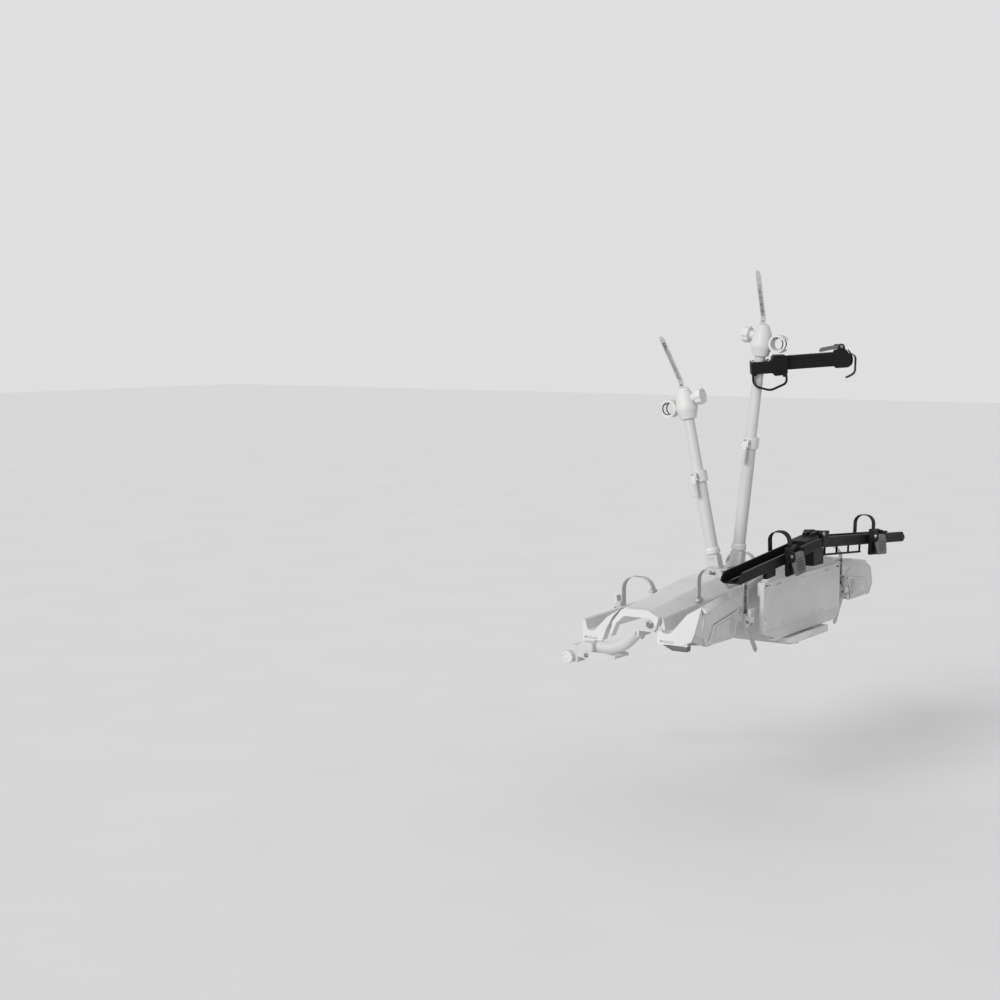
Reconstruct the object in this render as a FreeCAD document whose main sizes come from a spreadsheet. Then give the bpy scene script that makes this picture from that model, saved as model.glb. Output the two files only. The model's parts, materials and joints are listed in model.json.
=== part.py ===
import FreeCAD
import Part
import Sketcher
import math
import os

# Tow ball rack for two bikes with a rail and a frame arm for a third one.
# All sizes are in millimetres. The origin is the middle of the tow ball.
# X runs across the vehicle, Y forward to the vehicle and Z up.

SIZES = [
    ("ball_dia", 50.0, "tow ball"),
    ("ball_gap", 0.2, "room between ball and socket"),
    ("slip", 0.3, "room between moving faces"),
    ("fit", 0.06, "room round a pin that turns"),
    ("head_wide", 88.0, "coupling head across"),
    ("head_back", 58.0, "coupling head behind the ball"),
    ("head_front", 8.0, "coupling head before the ball"),
    ("head_top", 45.0, "coupling head above the ball"),
    ("head_foot", 13.0, "coupling head below the ball middle"),
    ("jaw_arm", 5.2, "side arm of the jaw"),
    ("jaw_arm_tall", 24.0, "height of a side arm"),
    ("jaw_front", 58.0, "jaw before the ball"),
    ("jaw_top", 28.0, "jaw above the ball middle"),
    ("jaw_foot", 34.0, "jaw below the ball middle"),
    ("jaw_pin", 10.0, "pin of the clamp lever"),
    ("jaw_pin_y", 34.0, "clamp lever pin behind the ball"),
    ("clamp_plate", 3.5, "side plate of the clamp lever"),
    ("clamp_reach", 148.0, "end of the clamp lever behind the ball"),
    ("clamp_bar", 11.0, "handle bar of the clamp lever"),
    ("knob_dia", 46.0, "clamp adjuster knob"),
    ("knob_thick", 20.0, "clamp adjuster knob thickness"),
    ("knob_y", 44.0, "adjuster before the ball"),
    ("knob_z", 15.0, "adjuster below the ball middle"),
    ("neck_dia", 46.0, "neck tube"),
    ("neck_wall", 4.0, "wall of the neck tube"),
    ("neck_z", 24.0, "neck tube above the ball middle"),
    ("neck_run", 24.0, "straight start of the neck"),
    ("neck_bend", 149.0, "bend radius of the neck"),
    ("neck_turn", 54.0, "degrees of the bend"),
    ("fork_face", 246.0, "rear face of the neck flange"),
    ("fork_plate", 10.0, "flange thickness"),
    ("fork_wide", 84.0, "fork across"),
    ("fork_cheek", 8.0, "fork cheek"),
    ("fork_round", 27.0, "rounding of fork and lug"),
    ("tilt_y", 290.0, "tilt pin behind the ball"),
    ("tilt_z", 136.0, "tilt pin above the ball"),
    ("tilt_pin", 16.0, "tilt pin"),
    ("beam_wide", 90.0, "main beam across"),
    ("beam_low", 122.0, "underside of the main beam"),
    ("beam_wall", 6.0, "beam wall"),
    ("beam_front", 335.0, "front of the main beam"),
    ("base_rear", 820.0, "rear end of the platform"),
    ("skin", 5.0, "tray and deck skin"),
    ("lip_y", 378.0, "front lip of the first tray"),
    ("lip_wide", 10.0, "width of a tray lip"),
    ("tray_flat", 23.0, "flat of a wheel tray"),
    ("tray_wall", 9.0, "slope of a tray front wall"),
    ("tray_round", 9.0, "rounding in a tray"),
    ("tray_one_z", 215.0, "floor of the first tray"),
    ("tray_two_z", 231.0, "floor of the second tray"),
    ("lip_two_y", 655.0, "front lip of the second tray"),
    ("lip_low", 249.0, "first lip at the wing end"),
    ("lip_high", 262.0, "first lip at the middle"),
    ("deck_front", 522.0, "front edge of the deck"),
    ("deck_rear", 612.0, "rear edge of the deck"),
    ("deck_low", 296.0, "deck at the wing end"),
    ("deck_high", 348.0, "deck at the hinge"),
    ("deck_round", 18.0, "rounding of the deck edges"),
    ("wall_foot_y", 748.0, "foot of the rear wall"),
    ("wall_foot_high", 326.0, "rear wall foot at the hinge"),
    ("wall_top_low", 326.0, "rear wall top at the wing end"),
    ("wall_top_high", 396.0, "rear wall top at the hinge"),
    ("wall_lean_low", 800.0, "rear wall top behind the ball, wing end"),
    ("wall_lean_high", 814.0, "rear wall top behind the ball, hinge"),
    ("hinge_x", 150.0, "wing hinge axis from the middle"),
    ("hinge_z", 306.0, "wing hinge axis height"),
    ("hinge_rod", 10.0, "wing hinge rod"),
    ("knuckle", 24.0, "wing hinge knuckle"),
    ("hinge_room", 1.0, "room round a knuckle"),
    ("side_gap", 12.6, "hinge axis to the plate on either side"),
    ("side_plate", 6.0, "plate beside the hinge"),
    ("wing_end", 630.0, "wing end from the middle"),
    ("end_thick", 30.0, "wing end frame"),
    ("base_deck", 298.0, "deck of the middle platform"),
    ("post_wide", 108.0, "rear post across"),
    ("post_top", 398.0, "top of the rear post"),
    ("post_front", 752.0, "front of the rear post"),
    ("mast_y", 560.0, "mast pivot behind the ball"),
    ("mast_z", 345.0, "mast pivot height"),
    ("mast_x", 75.0, "mast from the middle"),
    ("mast_pin", 12.0, "mast pivot pin"),
    ("mast_lug", 34.0, "mast foot across"),
    ("mast_dia", 42.0, "lower mast tube"),
    ("mast_wall", 2.7, "lower mast wall"),
    ("mast_start", 48.0, "lower tube above its pivot"),
    ("mast_plug", 60.0, "solid foot of the lower tube above its pivot"),
    ("inner_dia", 36.0, "upper mast tube"),
    ("inner_wall", 2.0, "upper mast wall"),
    ("bracket_plate", 8.0, "mast bracket plate"),
    ("bracket_wide", 202.0, "mast bracket across"),
    ("bracket_long", 116.0, "mast bracket along the car"),
    ("one_lean", 12.2, "forward lean of the first mast"),
    ("two_lean", 6.1, "backward lean of the second mast"),
    ("one_long", 568.0, "first mast to its head"),
    ("two_long", 771.0, "second mast to its head"),
    ("one_lower", 335.0, "lower tube of the first mast"),
    ("two_lower", 440.0, "lower tube of the second mast"),
    ("tube_overlap", 190.0, "upper tube held in the lower one"),
    ("collar_dia", 56.0, "lock collar"),
    ("collar_tall", 36.0, "lock collar height"),
    ("head_dia", 76.0, "frame head"),
    ("head_above", 62.0, "frame head above its middle"),
    ("head_below", 48.0, "frame head below its middle"),
    ("claw_bore", 44.0, "bike tube that the claw takes"),
    ("claw_wall", 8.0, "claw wall"),
    ("claw_out", 62.0, "claw middle from the mast"),
    ("claw_wide", 36.0, "claw along the bike tube"),
    ("grip_dia", 56.0, "torque knob"),
    ("grip_thick", 24.0, "torque knob thickness"),
    ("tail_wide", 18.0, "head strap"),
    ("tail_thick", 3.5, "head strap thickness"),
    ("tail_long", 150.0, "free end of the head strap"),
    ("plate_wide", 594.0, "number plate holder across"),
    ("plate_high", 356.0, "top of the plate holder"),
    ("plate_step", 200.0, "side corner of the plate holder"),
    ("plate_low", 171.0, "foot of the plate holder"),
    ("plate_foot_wide", 440.0, "foot of the plate holder across"),
    ("plate_back", 828.0, "plate holder rear side towards the car"),
    ("plate_deep", 14.0, "plate holder depth"),
    ("plate_skin", 4.0, "plate holder skin"),
    ("lip_rear", 858.0, "lip below the plate, behind the ball"),
    ("lip_out", 12.0, "lip past the side of the plate holder"),
    ("hood_top", 395.0, "top of the rear hood"),
    ("hood_skirt", 40.0, "hood behind the plate holder"),
    ("hood_brim", 846.0, "brim of the hood behind the ball"),
    ("hood_ridge", 826.0, "ridge of the hood behind the ball"),
    ("hood_tip", 18.0, "tip of the hood from the holder side"),
    ("hood_flat", 170.0, "end of the flat ridge from the middle"),
    ("hood_round", 150.0, "rounding of the hood ridge"),
    ("pedal_wide", 314.0, "pedal across"),
    ("pedal_rear", 902.0, "rear edge of the pedal"),
    ("pedal_front", 834.0, "front edge of the pedal"),
    ("pedal_low", 147.0, "underside of the pedal"),
    ("pedal_thick", 17.0, "pedal thickness at its front"),
    ("pedal_slot", 210.0, "slot in the pedal across"),
    ("pedal_slot_front", 860.0, "front of the pedal slot"),
    ("pedal_slot_rear", 881.0, "rear of the pedal slot"),
    ("pedal_taper", 96.0, "length of the curved pedal end"),
    ("pedal_high", 184.0, "top of the pedal"),
    ("pedal_y", 786.0, "pedal pivot behind the ball"),
    ("pedal_z", 158.0, "pedal pivot height"),
    ("pedal_arm", 12.0, "pedal arm"),
    ("pedal_pin", 10.0, "pedal pin"),
    ("rod_dia", 8.0, "push rod"),
    ("rod_z", 113.0, "push rod height"),
    ("rod_front", 372.0, "front end of the push rod"),
    ("light_in", 418.0, "inner side of a rear light"),
    ("light_out", 658.0, "outer side of a rear light"),
    ("light_face", 814.0, "rear face of a light housing"),
    ("light_front", 762.0, "front of a light housing"),
    ("light_low", 201.0, "underside of a light housing"),
    ("light_high", 334.0, "top of a light housing"),
    ("lens_proud", 4.0, "lens stands proud"),
    ("lens_sunk", 8.0, "lens seat"),
    ("strap_x", 370.0, "wheel strap from the middle"),
    ("strap_wide", 25.0, "wheel strap"),
    ("strap_thick", 3.0, "wheel strap thickness"),
    ("buckle_wide", 36.0, "ratchet buckle"),
    ("rail_y", 897.0, "third rail behind the ball"),
    ("rail_wide", 63.0, "third rail across"),
    ("rail_tall", 34.5, "third rail height at its joint"),
    ("rail_skin", 4.5, "third rail wall"),
    ("rail_rib", 9.0, "ridge in the third rail"),
    ("rail_x", 48.0, "rail joint from the middle"),
    ("rail_top", 486.0, "top of the rail at its joint"),
    ("rail_pin_up", 11.0, "rail joint pin above the rail"),
    ("rail_pin", 8.0, "rail joint pin"),
    ("rail_ear", 20.0, "rail joint ear"),
    ("left_droop", 4.8, "slope of the left half"),
    ("right_droop", 4.3, "slope of the right half"),
    ("left_unit", 255.0, "left rail strap from the joint"),
    ("right_unit", 418.0, "right rail strap from the joint"),
    ("ladder_near", 30.0, "rod below the rail, near end from the joint"),
    ("ladder_far", 332.0, "rod below the rail, far end from the joint"),
    ("ladder_bar", 7.0, "rod below the rail"),
    ("ladder_drop", 24.0, "rod below the underside of the rail"),
    ("ladder_y", 24.0, "rod behind the middle of the rail"),
    ("rail_groove", 1.2, "depth of a groove in the rail side"),
    ("groove_tall", 2.6, "height of a groove in the rail side"),
    ("groove_pitch", 8.0, "distance between the grooves"),
    ("rail_nose", 16.0, "rounding of the rail end"),
    ("web_far", 130.0, "raised bridge of the left half from the joint"),
    ("tab_at", 372.0, "tab below the left half from the joint"),
    ("tab_long", 60.0, "tab below the left half"),
    ("tab_drop", 22.0, "tab below the underside of the rail"),
    ("arm_turn", 58.9, "frame arm direction"),
    ("arm_rise", 9.5, "frame arm upward angle"),
    ("arm_long", 268.0, "frame arm from the mast"),
    ("arm_near", 76.0, "near body of the frame arm"),
    ("arm_bar_tall", 46.0, "bar of the frame arm"),
    ("arm_bar_wide", 30.0, "bar of the frame arm across"),
    ("jaw_side", 11.6, "jaw side from the head side"),
    ("jaw_end", 52.0, "end of a jaw arm behind the ball"),
    ("jaw_room", 2.4, "room between head and jaw"),
    ("knob_shaft", 22.0, "adjuster shaft"),
    ("clamp_bar_z", 4.0, "handle bar above the ball middle"),
    ("fork_end_z", 128.8, "neck end above the ball"),
    ("flange_tall", 84.0, "flange height"),
    ("base_front", 480.0, "front edge of the middle deck"),
    ("plate_under", 203.0, "underside of the hinge plates"),
    ("pedal_x", 66.0, "pedal arm from the middle"),
    ("rod_x", 72.0, "push rod from the middle"),
    ("zone_front", 500.0, "front hinge group behind the ball"),
    ("zone_rear", 742.0, "rear hinge group behind the ball"),
    ("knuckle_long", 40.0, "front knuckle"),
    ("knuckle_short", 24.0, "rear knuckle"),
    ("lip_round", 8.0, "rounding of the second lip"),
    ("ridge_out", 467.0, "front ridge behind the ball, wing end"),
    ("ridge_in", 478.0, "front ridge behind the ball, hinge"),
    ("ridge_high", 330.0, "front ridge at the hinge"),
    ("step_low", 274.0, "second lip at the wing end"),
    ("step_high", 300.0, "second lip at the hinge"),
    ("light_step", 806.0, "light housing behind the wall"),
    ("front_seat_y", 484.0, "front strap seat behind the ball"),
    ("front_seat", 306.7, "front strap seat height"),
    ("front_land", 222.0, "front buckle foot"),
    ("front_top", 352.0, "top of the front strap"),
    ("rear_seat_y", 652.0, "rear strap seat behind the ball"),
    ("rear_seat", 293.4, "rear strap seat height"),
    ("rear_hook", 811.3, "rear strap behind the wall"),
    ("rear_land", 222.0, "rear buckle foot"),
    ("rear_top", 402.0, "top of the rear strap"),
    ("tail_low", 138.0, "end of the hanging strap tail"),
    ("tail_lean", 60.0, "strap tail leans to the middle"),
    ("tail_y", 820.0, "strap tail behind the ball"),
    ("hook_gap", 1.3, "front strap before the lip"),
    ("strap_bow", 40.0, "bow of a wheel strap"),
    ("plate_drop", 2.0, "side plate below the tray skin"),
    ("slot_deep", 6.0, "depth of the slot in an end face"),
    ("slot_tall", 6.0, "height of the slot in an end face"),
    ("slot_long", 46.0, "length of the slot in an end face"),
    ("slot_one_y", 386.0, "front slot behind the ball"),
    ("slot_one_z", 189.0, "front slot above the ball"),
    ("slot_two_y", 656.0, "rear slot behind the ball"),
    ("slot_two_z", 203.0, "rear slot above the ball"),
    ("foot_y", 690.0, "foot block behind the ball"),
    ("foot_long", 59.0, "foot block"),
    ("foot_low", 181.0, "underside of the foot block"),
    ("ear", 4.0, "buckle ear"),
    ("lever_at", 274.0, "lever pin of the frame arm from the mast"),
    ("lever_up", 41.0, "lever pin above the frame arm"),
    ("lever_long", 70.0, "lever of the frame arm"),
    ("lever_wide", 20.0, "lever of the frame arm across"),
    ("hook_drop", 62.0, "hook band below the frame arm"),
    ("hook_out", 54.0, "hook band past the frame arm"),
    ("head_round", 6.0, "rounding of the coupling head"),
    ("jaw_round", 5.0, "rounding of the jaw"),
    ("lever_pin", 6.0, "lever pin"),
    ("cam", 14.0, "cam lever across"),
    ("grip_out", 44.0, "torque knob from the mast"),
    ("joint_gap", 5.0, "rail end from its joint"),
    ("rail_left_long", 600.0, "left rail half"),
    ("rail_right_long", 722.0, "right rail half"),
    ("saddle_near", 60.0, "rail bracket under the left half"),
    ("saddle_far", 16.0, "rail bracket under the right half"),
    ("unit_drop", 36.0, "rail buckle below the underside of the rail"),
    ("loop_top", 62.0, "rail strap loop above the rail"),
    ("loop_bow", 28.0, "bow of the rail strap loop"),
    ("rail_buckle", 70.0, "rail strap buckle"),
    ("arm_y", -633.85, "frame arm origin along the car"),
    ("arm_z", 1036.0, "frame arm origin height"),
]

doc = FreeCAD.newDocument("hitch_bike_rack")
dims = doc.addObject("Spreadsheet::Sheet", "dims")
for row, (alias, value, meaning) in enumerate(SIZES, start=1):
    dims.set("A%d" % row, alias)
    dims.set("B%d" % row, str(value))
    dims.set("C%d" % row, meaning)
    dims.setAlias("B%d" % row, alias)
doc.recompute()

Vector = FreeCAD.Vector
Rotation = FreeCAD.Rotation
Placement = FreeCAD.Placement
X_AXIS = Vector(1, 0, 0)
Y_AXIS = Vector(0, 1, 0)
Z_AXIS = Vector(0, 0, 1)
ALONG = {
    "x": Rotation(Y_AXIS, 90),
    "y": Rotation(X_AXIS, -90),
    "z": Rotation(),
}
SIDES = {"left": -1, "right": 1}
nodes = []


def size(alias):
    """The number that one cell of the sheet holds."""
    return float(dims.get(alias))


def num(expression):
    """The value of an expression over the sheet."""
    return float(dims.evalExpression(str(expression)))


def node(name):
    """A body that is written out under its own name."""
    made = doc.addObject("PartDesign::Body", name)
    made.Label = name
    nodes.append(made)
    return made


def sketch(body, role, offset="0"):
    """A sketch on one of the body's own origin planes, moved along that plane's normal."""
    made = body.newObject("Sketcher::SketchObject", body.Name + "_outline")
    plane = [item for item in body.Origin.OriginFeatures if item.Role == role][0]
    made.AttachmentSupport = [(plane, "")]
    made.MapMode = "FlatFace"
    made.setExpression("AttachmentOffset.Base.z", str(offset))
    return made


def fix_point(rules, names, geometry, position, across, up):
    """Hold one point of a sketch at two expressions from the origin."""
    for kind, expression in (("DistanceX", across), ("DistanceY", up)):
        rules.append(Sketcher.Constraint(kind, -1, 1, geometry, position, num(expression)))
        names.append(str(expression))


def bind_rules(made, rules, names):
    """Add the rules to the sketch at once and bind those that have an expression."""
    first = made.ConstraintCount
    made.addConstraint(rules)
    for index, expression in enumerate(names):
        if expression is not None:
            made.setExpression("Constraints[%d]" % (first + index), expression)


def corner_arc(before, here, after, radius):
    """Where a rounding of this radius leaves and joins the two lines at a corner."""
    into = (before - here).normalize()
    out = (after - here).normalize()
    half = into.getAngle(out) / 2
    reach = radius / math.tan(half)
    middle = here + (into + out).normalize() * (radius / math.sin(half))
    left = (into.x * out.y - into.y * out.x) < 0
    return here + into * reach, here + out * reach, middle, left


def outline(made, corners):
    """A closed outline; a corner is (across, up) or (across, up, radius), as expressions."""
    spots = [Vector(num(corner[0]), num(corner[1]), 0) for corner in corners]
    count = len(corners)
    starts = list(spots)
    ends = list(spots)
    arcs = {}
    for index, corner in enumerate(corners):
        if len(corner) > 2:
            after = spots[(index + 1) % count]
            found = corner_arc(spots[index - 1], spots[index], after, num(corner[2]))
            ends[index], starts[index], middle, left = found
            arcs[index] = (middle, left)
    base = made.GeometryCount
    lines = [Part.LineSegment(starts[i], ends[(i + 1) % count]) for i in range(count)]
    made.addGeometry(lines, False)
    rules = []
    names = []
    for index, corner in enumerate(corners):
        line_in = base + (index - 1) % count
        line_out = base + index
        if index not in arcs:
            fix_point(rules, names, line_out, 1, corner[0], corner[1])
            rules.append(Sketcher.Constraint("Coincident", line_in, 2, line_out, 1))
            names.append(None)
            continue
        middle, left = arcs[index]
        first = ends[index] if left else starts[index]
        last = starts[index] if left else ends[index]
        angle_a = math.atan2(first.y - middle.y, first.x - middle.x)
        angle_b = math.atan2(last.y - middle.y, last.x - middle.x)
        arc_id = made.GeometryCount
        round_edge = Part.Circle(middle, Z_AXIS, num(corner[2]))
        made.addGeometry([Part.ArcOfCircle(round_edge, angle_a, angle_b)], False)
        made.addGeometry([Part.Point(spots[index])], True)
        fix_point(rules, names, arc_id + 1, 1, corner[0], corner[1])
        near, far = (1, 2) if left else (2, 1)
        rules.append(Sketcher.Constraint("PointOnObject", arc_id + 1, 1, line_in))
        rules.append(Sketcher.Constraint("PointOnObject", arc_id + 1, 1, line_out))
        rules.append(Sketcher.Constraint("Tangent", line_in, 2, arc_id, near))
        rules.append(Sketcher.Constraint("Tangent", arc_id, far, line_out, 1))
        rules.append(Sketcher.Constraint("Radius", arc_id, num(corner[2])))
        names.extend([None, None, None, None, str(corner[2])])
    bind_rules(made, rules, names)


def ring(made, across, up, radius):
    """A full circle held by its middle and radius."""
    identity = made.GeometryCount
    middle = Vector(num(across), num(up), 0)
    made.addGeometry([Part.Circle(middle, Z_AXIS, num(radius))], False)
    rules = []
    names = []
    fix_point(rules, names, identity, 3, across, up)
    rules.append(Sketcher.Constraint("Radius", identity, num(radius)))
    names.append(str(radius))
    bind_rules(made, rules, names)


def strip(points, thickness, side=1):
    """The corners of a strip: a line, and the same line moved to its right (or left for -1)."""
    spots = [Vector(num(point[0]), num(point[1]), 0) for point in points]
    width = num(thickness)
    runs = [(spots[i + 1] - spots[i]).normalize() for i in range(len(spots) - 1)]
    normals = [Vector(run.y * side, -run.x * side, 0) for run in runs]
    moved = []
    for index, point in enumerate(points):
        before = normals[max(index - 1, 0)]
        after = normals[min(index, len(normals) - 1)]
        shift = (before + after) * (1 / (1 + before.dot(after)))
        across = "%s + %.5f * (%s)" % (point[0], shift.x, thickness)
        up = "%s + %.5f * (%s)" % (point[1], shift.y, thickness)
        if len(point) < 3:
            moved.append((across, up))
            continue
        turn = (runs[index - 1].x * runs[index].y - runs[index - 1].y * runs[index].x) * side
        if turn > 0:
            moved.append((across, up, "%s + %s" % (point[2], thickness)))
        elif num(point[2]) > width + 0.5:
            moved.append((across, up, "%s - %s" % (point[2], thickness)))
        else:
            moved.append((across, up))
    return list(points) + moved[::-1]


def pad(body, made, length, back=False, both=False):
    """Raise a sketch into a solid."""
    raised = body.newObject("PartDesign::Pad", body.Name + "_pad")
    raised.Profile = made
    raised.setExpression("Length", str(length))
    raised.Reversed = back
    raised.Midplane = both
    return raised


def pocket(body, made, length, back=False, both=False):
    """Cut a sketch out of the body."""
    cut = body.newObject("PartDesign::Pocket", body.Name + "_pocket")
    cut.Profile = made
    cut.setExpression("Length", str(length))
    cut.Reversed = back
    cut.Midplane = both
    return cut


def place(feature, start, axis="z"):
    """Put a primitive at a corner or end given by three expressions."""
    feature.Placement = Placement(Vector(), ALONG[axis])
    for name, expression in zip("xyz", start):
        feature.setExpression("Placement.Base." + name, str(expression))


def block(body, kind, low, high):
    """Add or cut a box between two corners."""
    made = body.newObject("PartDesign::%sBox" % kind, body.Name + "_block")
    place(made, low)
    for name, first, last in zip(("Length", "Width", "Height"), low, high):
        made.setExpression(name, "(%s) - (%s)" % (last, first))
    return made


def rod(body, kind, start, axis, radius, length):
    """Add or cut a round bar that starts at a point and runs along an axis."""
    made = body.newObject("PartDesign::%sCylinder" % kind, body.Name + "_rod")
    place(made, start, axis)
    made.setExpression("Radius", str(radius))
    made.setExpression("Height", str(length))
    return made


def across_rod(body, kind, across, y, z, radius, length):
    """A round bar along X whose middle is at `across`."""
    start = ("(%s) - (%s) / 2" % (across, length), y, z)
    return rod(body, kind, start, "x", radius, length)


def side_outline(body, corners, low, high):
    """A solid with its outline seen from the side, between two values of X."""
    made = sketch(body, "YZ_Plane", low)
    outline(made, corners)
    return pad(body, made, "(%s) - (%s)" % (high, low))


def soften(body, radius, chosen):
    """Round those edges of the body so far that pass a test."""
    doc.recompute()
    base = body.Tip
    names = ["Edge%d" % (index + 1) for index, edge in enumerate(base.Shape.Edges) if chosen(edge)]
    made = body.newObject("PartDesign::Fillet", body.Name + "_rounding")
    made.Base = (base, names)
    made.setExpression("Radius", str(radius))
    return made


def level_at(axis, *values):
    """A test for edges whose ends all lie at one of the given distances from the origin."""
    def chosen(edge):
        ends = [abs(getattr(vertex, axis)) for vertex in edge.Vertexes]
        return any(all(abs(end - value) < 0.01 for end in ends) for value in values)
    return chosen


def span(side, near, far):
    """Two values of X in rising order, for the left or the right side."""
    if side > 0:
        return str(near), str(far)
    return "-(%s)" % far, "-(%s)" % near


def both_sides(body, kind, near, far, low, high):
    """The same box left and right of the middle plane."""
    for side in SIDES.values():
        first, last = span(side, near, far)
        block(body, kind, (first,) + low, (last,) + high)


# The coupling head with its ball socket, clamp jaw and clamp lever.
socket = "dims.ball_dia / 2 + dims.ball_gap"
slot_in = "dims.head_wide / 2 - dims.jaw_side - dims.jaw_arm - dims.slip"
slot_out = "dims.head_wide / 2 - dims.jaw_side + dims.slip"
head_y = "-dims.head_back"
housing = node("coupling_housing")
side_outline(housing, [
    (head_y, "-dims.head_foot"), ("dims.head_front", "-dims.head_foot"),
    ("dims.head_front", "dims.head_top - 14", 12), ("-dims.ball_dia / 4", "dims.head_top", 20),
    (head_y, "dims.head_top", 12),
], "-dims.head_wide / 2", "dims.head_wide / 2")
soften(housing, "dims.head_round", level_at("X", size("head_wide") / 2))
ball_room = housing.newObject("PartDesign::SubtractiveSphere", "ball_room")
ball_room.setExpression("Radius", socket)
rod(housing, "Subtractive", (0, 0, "-dims.head_foot - 1"), "z", socket, "dims.head_foot + 1")
both_sides(housing, "Subtractive", slot_in, slot_out,
           ("-dims.jaw_end - dims.jaw_room", "-dims.jaw_arm_tall / 2 - dims.slip"),
           ("dims.head_front + 1", "dims.jaw_arm_tall / 2 + dims.slip"))
across_rod(housing, "Subtractive", 0, "-dims.jaw_pin_y", 0, "dims.jaw_pin / 2 + dims.fit",
           "dims.head_wide + 2")

lever_in = "dims.head_wide / 2 + dims.slip"
lever_out = "dims.head_wide / 2 + dims.slip + dims.clamp_plate"
jaw_pin = node("jaw_pin")
across_rod(jaw_pin, "Additive", 0, "-dims.jaw_pin_y", 0, "dims.jaw_pin / 2",
           "2 * (%s)" % lever_out)

jaw = node("clamp_jaw")
jaw_back = "dims.head_front + dims.jaw_room"
jaw_half = "dims.head_wide / 2 - dims.jaw_side"
side_outline(jaw, [
    (jaw_back, "-dims.jaw_foot"), ("dims.jaw_front - 16", "-dims.jaw_foot", 8),
    ("dims.jaw_front", "-dims.jaw_foot + 18", 10), ("dims.jaw_front", "dims.jaw_top - 18", 10),
    ("dims.jaw_front - 18", "dims.jaw_top", 10), (jaw_back, "dims.jaw_top"),
], "-(%s)" % jaw_half, jaw_half)
soften(jaw, "dims.jaw_round", level_at("X", num(jaw_half)))
both_sides(jaw, "Additive", "dims.head_wide / 2 - dims.jaw_side - dims.jaw_arm", jaw_half,
           ("-dims.jaw_end", "-dims.jaw_arm_tall / 2"), (jaw_back + " + 4", "dims.jaw_arm_tall / 2"))
jaw_seat = jaw.newObject("PartDesign::SubtractiveSphere", "jaw_seat")
jaw_seat.setExpression("Radius", socket)
rod(jaw, "Subtractive", (0, 0, "-dims.jaw_foot - 1"), "z", "dims.ball_dia / 3", "dims.jaw_foot + 1")
both_sides(jaw, "Subtractive", slot_in, slot_out,
           ("-dims.jaw_end - 1", "-dims.jaw_pin / 2 - dims.slip"),
           ("-dims.jaw_pin_y + dims.jaw_pin / 2 + dims.slip", "dims.jaw_pin / 2 + dims.slip"))
knob_bore = "dims.jaw_pin / 2 + dims.fit"
rod(jaw, "Subtractive", ("-(%s) - 1" % jaw_half, "dims.knob_y", "-dims.knob_z"), "x", knob_bore,
    "dims.knob_shaft + 1")

knob = node("clamp_knob")
knob_face = "-(%s) - dims.slip" % jaw_half
rod(knob, "Additive", (knob_face + " - dims.knob_thick", "dims.knob_y", "-dims.knob_z"), "x",
    "dims.knob_dia / 2", "dims.knob_thick")
rod(knob, "Additive", (knob_face + " - 1", "dims.knob_y", "-dims.knob_z"), "x",
    "dims.jaw_pin / 2", "dims.knob_shaft")

lever = node("clamp_lever")
for side in SIDES.values():
    low, high = span(side, lever_in, lever_out)
    side_outline(lever, [
        ("-dims.jaw_pin_y + 14", "-14", 10), ("-dims.jaw_pin_y + 14", "14", 10),
        ("-dims.clamp_reach + 30", "14", 12), ("-dims.clamp_reach - 6", "8", 4),
        ("-dims.clamp_reach - 6", "-4", 4), ("-dims.clamp_reach + 34", "-6", 12),
        ("-dims.jaw_pin_y - 22", "-14", 12),
    ], low, high)
across_rod(lever, "Additive", 0, "-dims.clamp_reach", "dims.clamp_bar_z",
           "dims.clamp_bar / 2", "2 * (%s)" % lever_in + " + 2")
across_rod(lever, "Subtractive", 0, "-dims.jaw_pin_y", 0, "dims.jaw_pin / 2 + dims.fit",
           "2 * (%s)" % lever_out + " + 2")

# The neck tube and the fork that the platform tilts in.
neck = node("neck_tube")
turn = math.radians(size("neck_turn"))
ring_sketch = sketch(neck, "XZ_Plane", head_y.replace("-", ""))
ring(ring_sketch, 0, "dims.neck_z", "dims.neck_dia / 2")
ring(ring_sketch, 0, "dims.neck_z", "dims.neck_dia / 2 - dims.neck_wall")
path = sketch(neck, "YZ_Plane")
start_y = -size("head_back")
bend_y = start_y - size("neck_run")
axis_z = size("neck_z")
radius = size("neck_bend")
arc_y = bend_y - radius * math.sin(turn)
arc_z = axis_z + radius * (1 - math.cos(turn))
rise = (size("fork_face") + arc_y) * math.tan(turn)
middle = Vector(bend_y, axis_z + radius, 0)
path.addGeometry([
    Part.LineSegment(Vector(start_y, axis_z, 0), Vector(bend_y, axis_z, 0)),
    Part.ArcOfCircle(Part.Circle(middle, Z_AXIS, radius), -math.pi / 2 - turn, -math.pi / 2),
    Part.LineSegment(Vector(arc_y, arc_z, 0), Vector(-size("fork_face"), arc_z + rise, 0)),
], False)
rules = []
names = []
fix_point(rules, names, 0, 1, head_y, "dims.neck_z")
rules.extend([
    Sketcher.Constraint("Horizontal", 0),
    Sketcher.Constraint("DistanceX", 0, 2, 0, 1, size("neck_run")),
    Sketcher.Constraint("Tangent", 0, 2, 1, 2),
    Sketcher.Constraint("Radius", 1, radius),
    Sketcher.Constraint("Tangent", 1, 1, 2, 1),
    Sketcher.Constraint("DistanceX", -1, 1, 2, 2, -size("fork_face")),
    Sketcher.Constraint("DistanceY", -1, 1, 2, 2, arc_z + rise),
])
names.extend([None, "dims.neck_run", None, "dims.neck_bend", None, "-dims.fork_face",
              "dims.fork_end_z"])
bind_rules(path, rules, names)
pipe = neck.newObject("PartDesign::AdditivePipe", "neck_pipe")
pipe.Profile = ring_sketch
pipe.Spine = path
block(neck, "Subtractive", (-100, "-dims.fork_face - 100", 0),
      (100, "-dims.fork_face + dims.fork_plate", 400))

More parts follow.
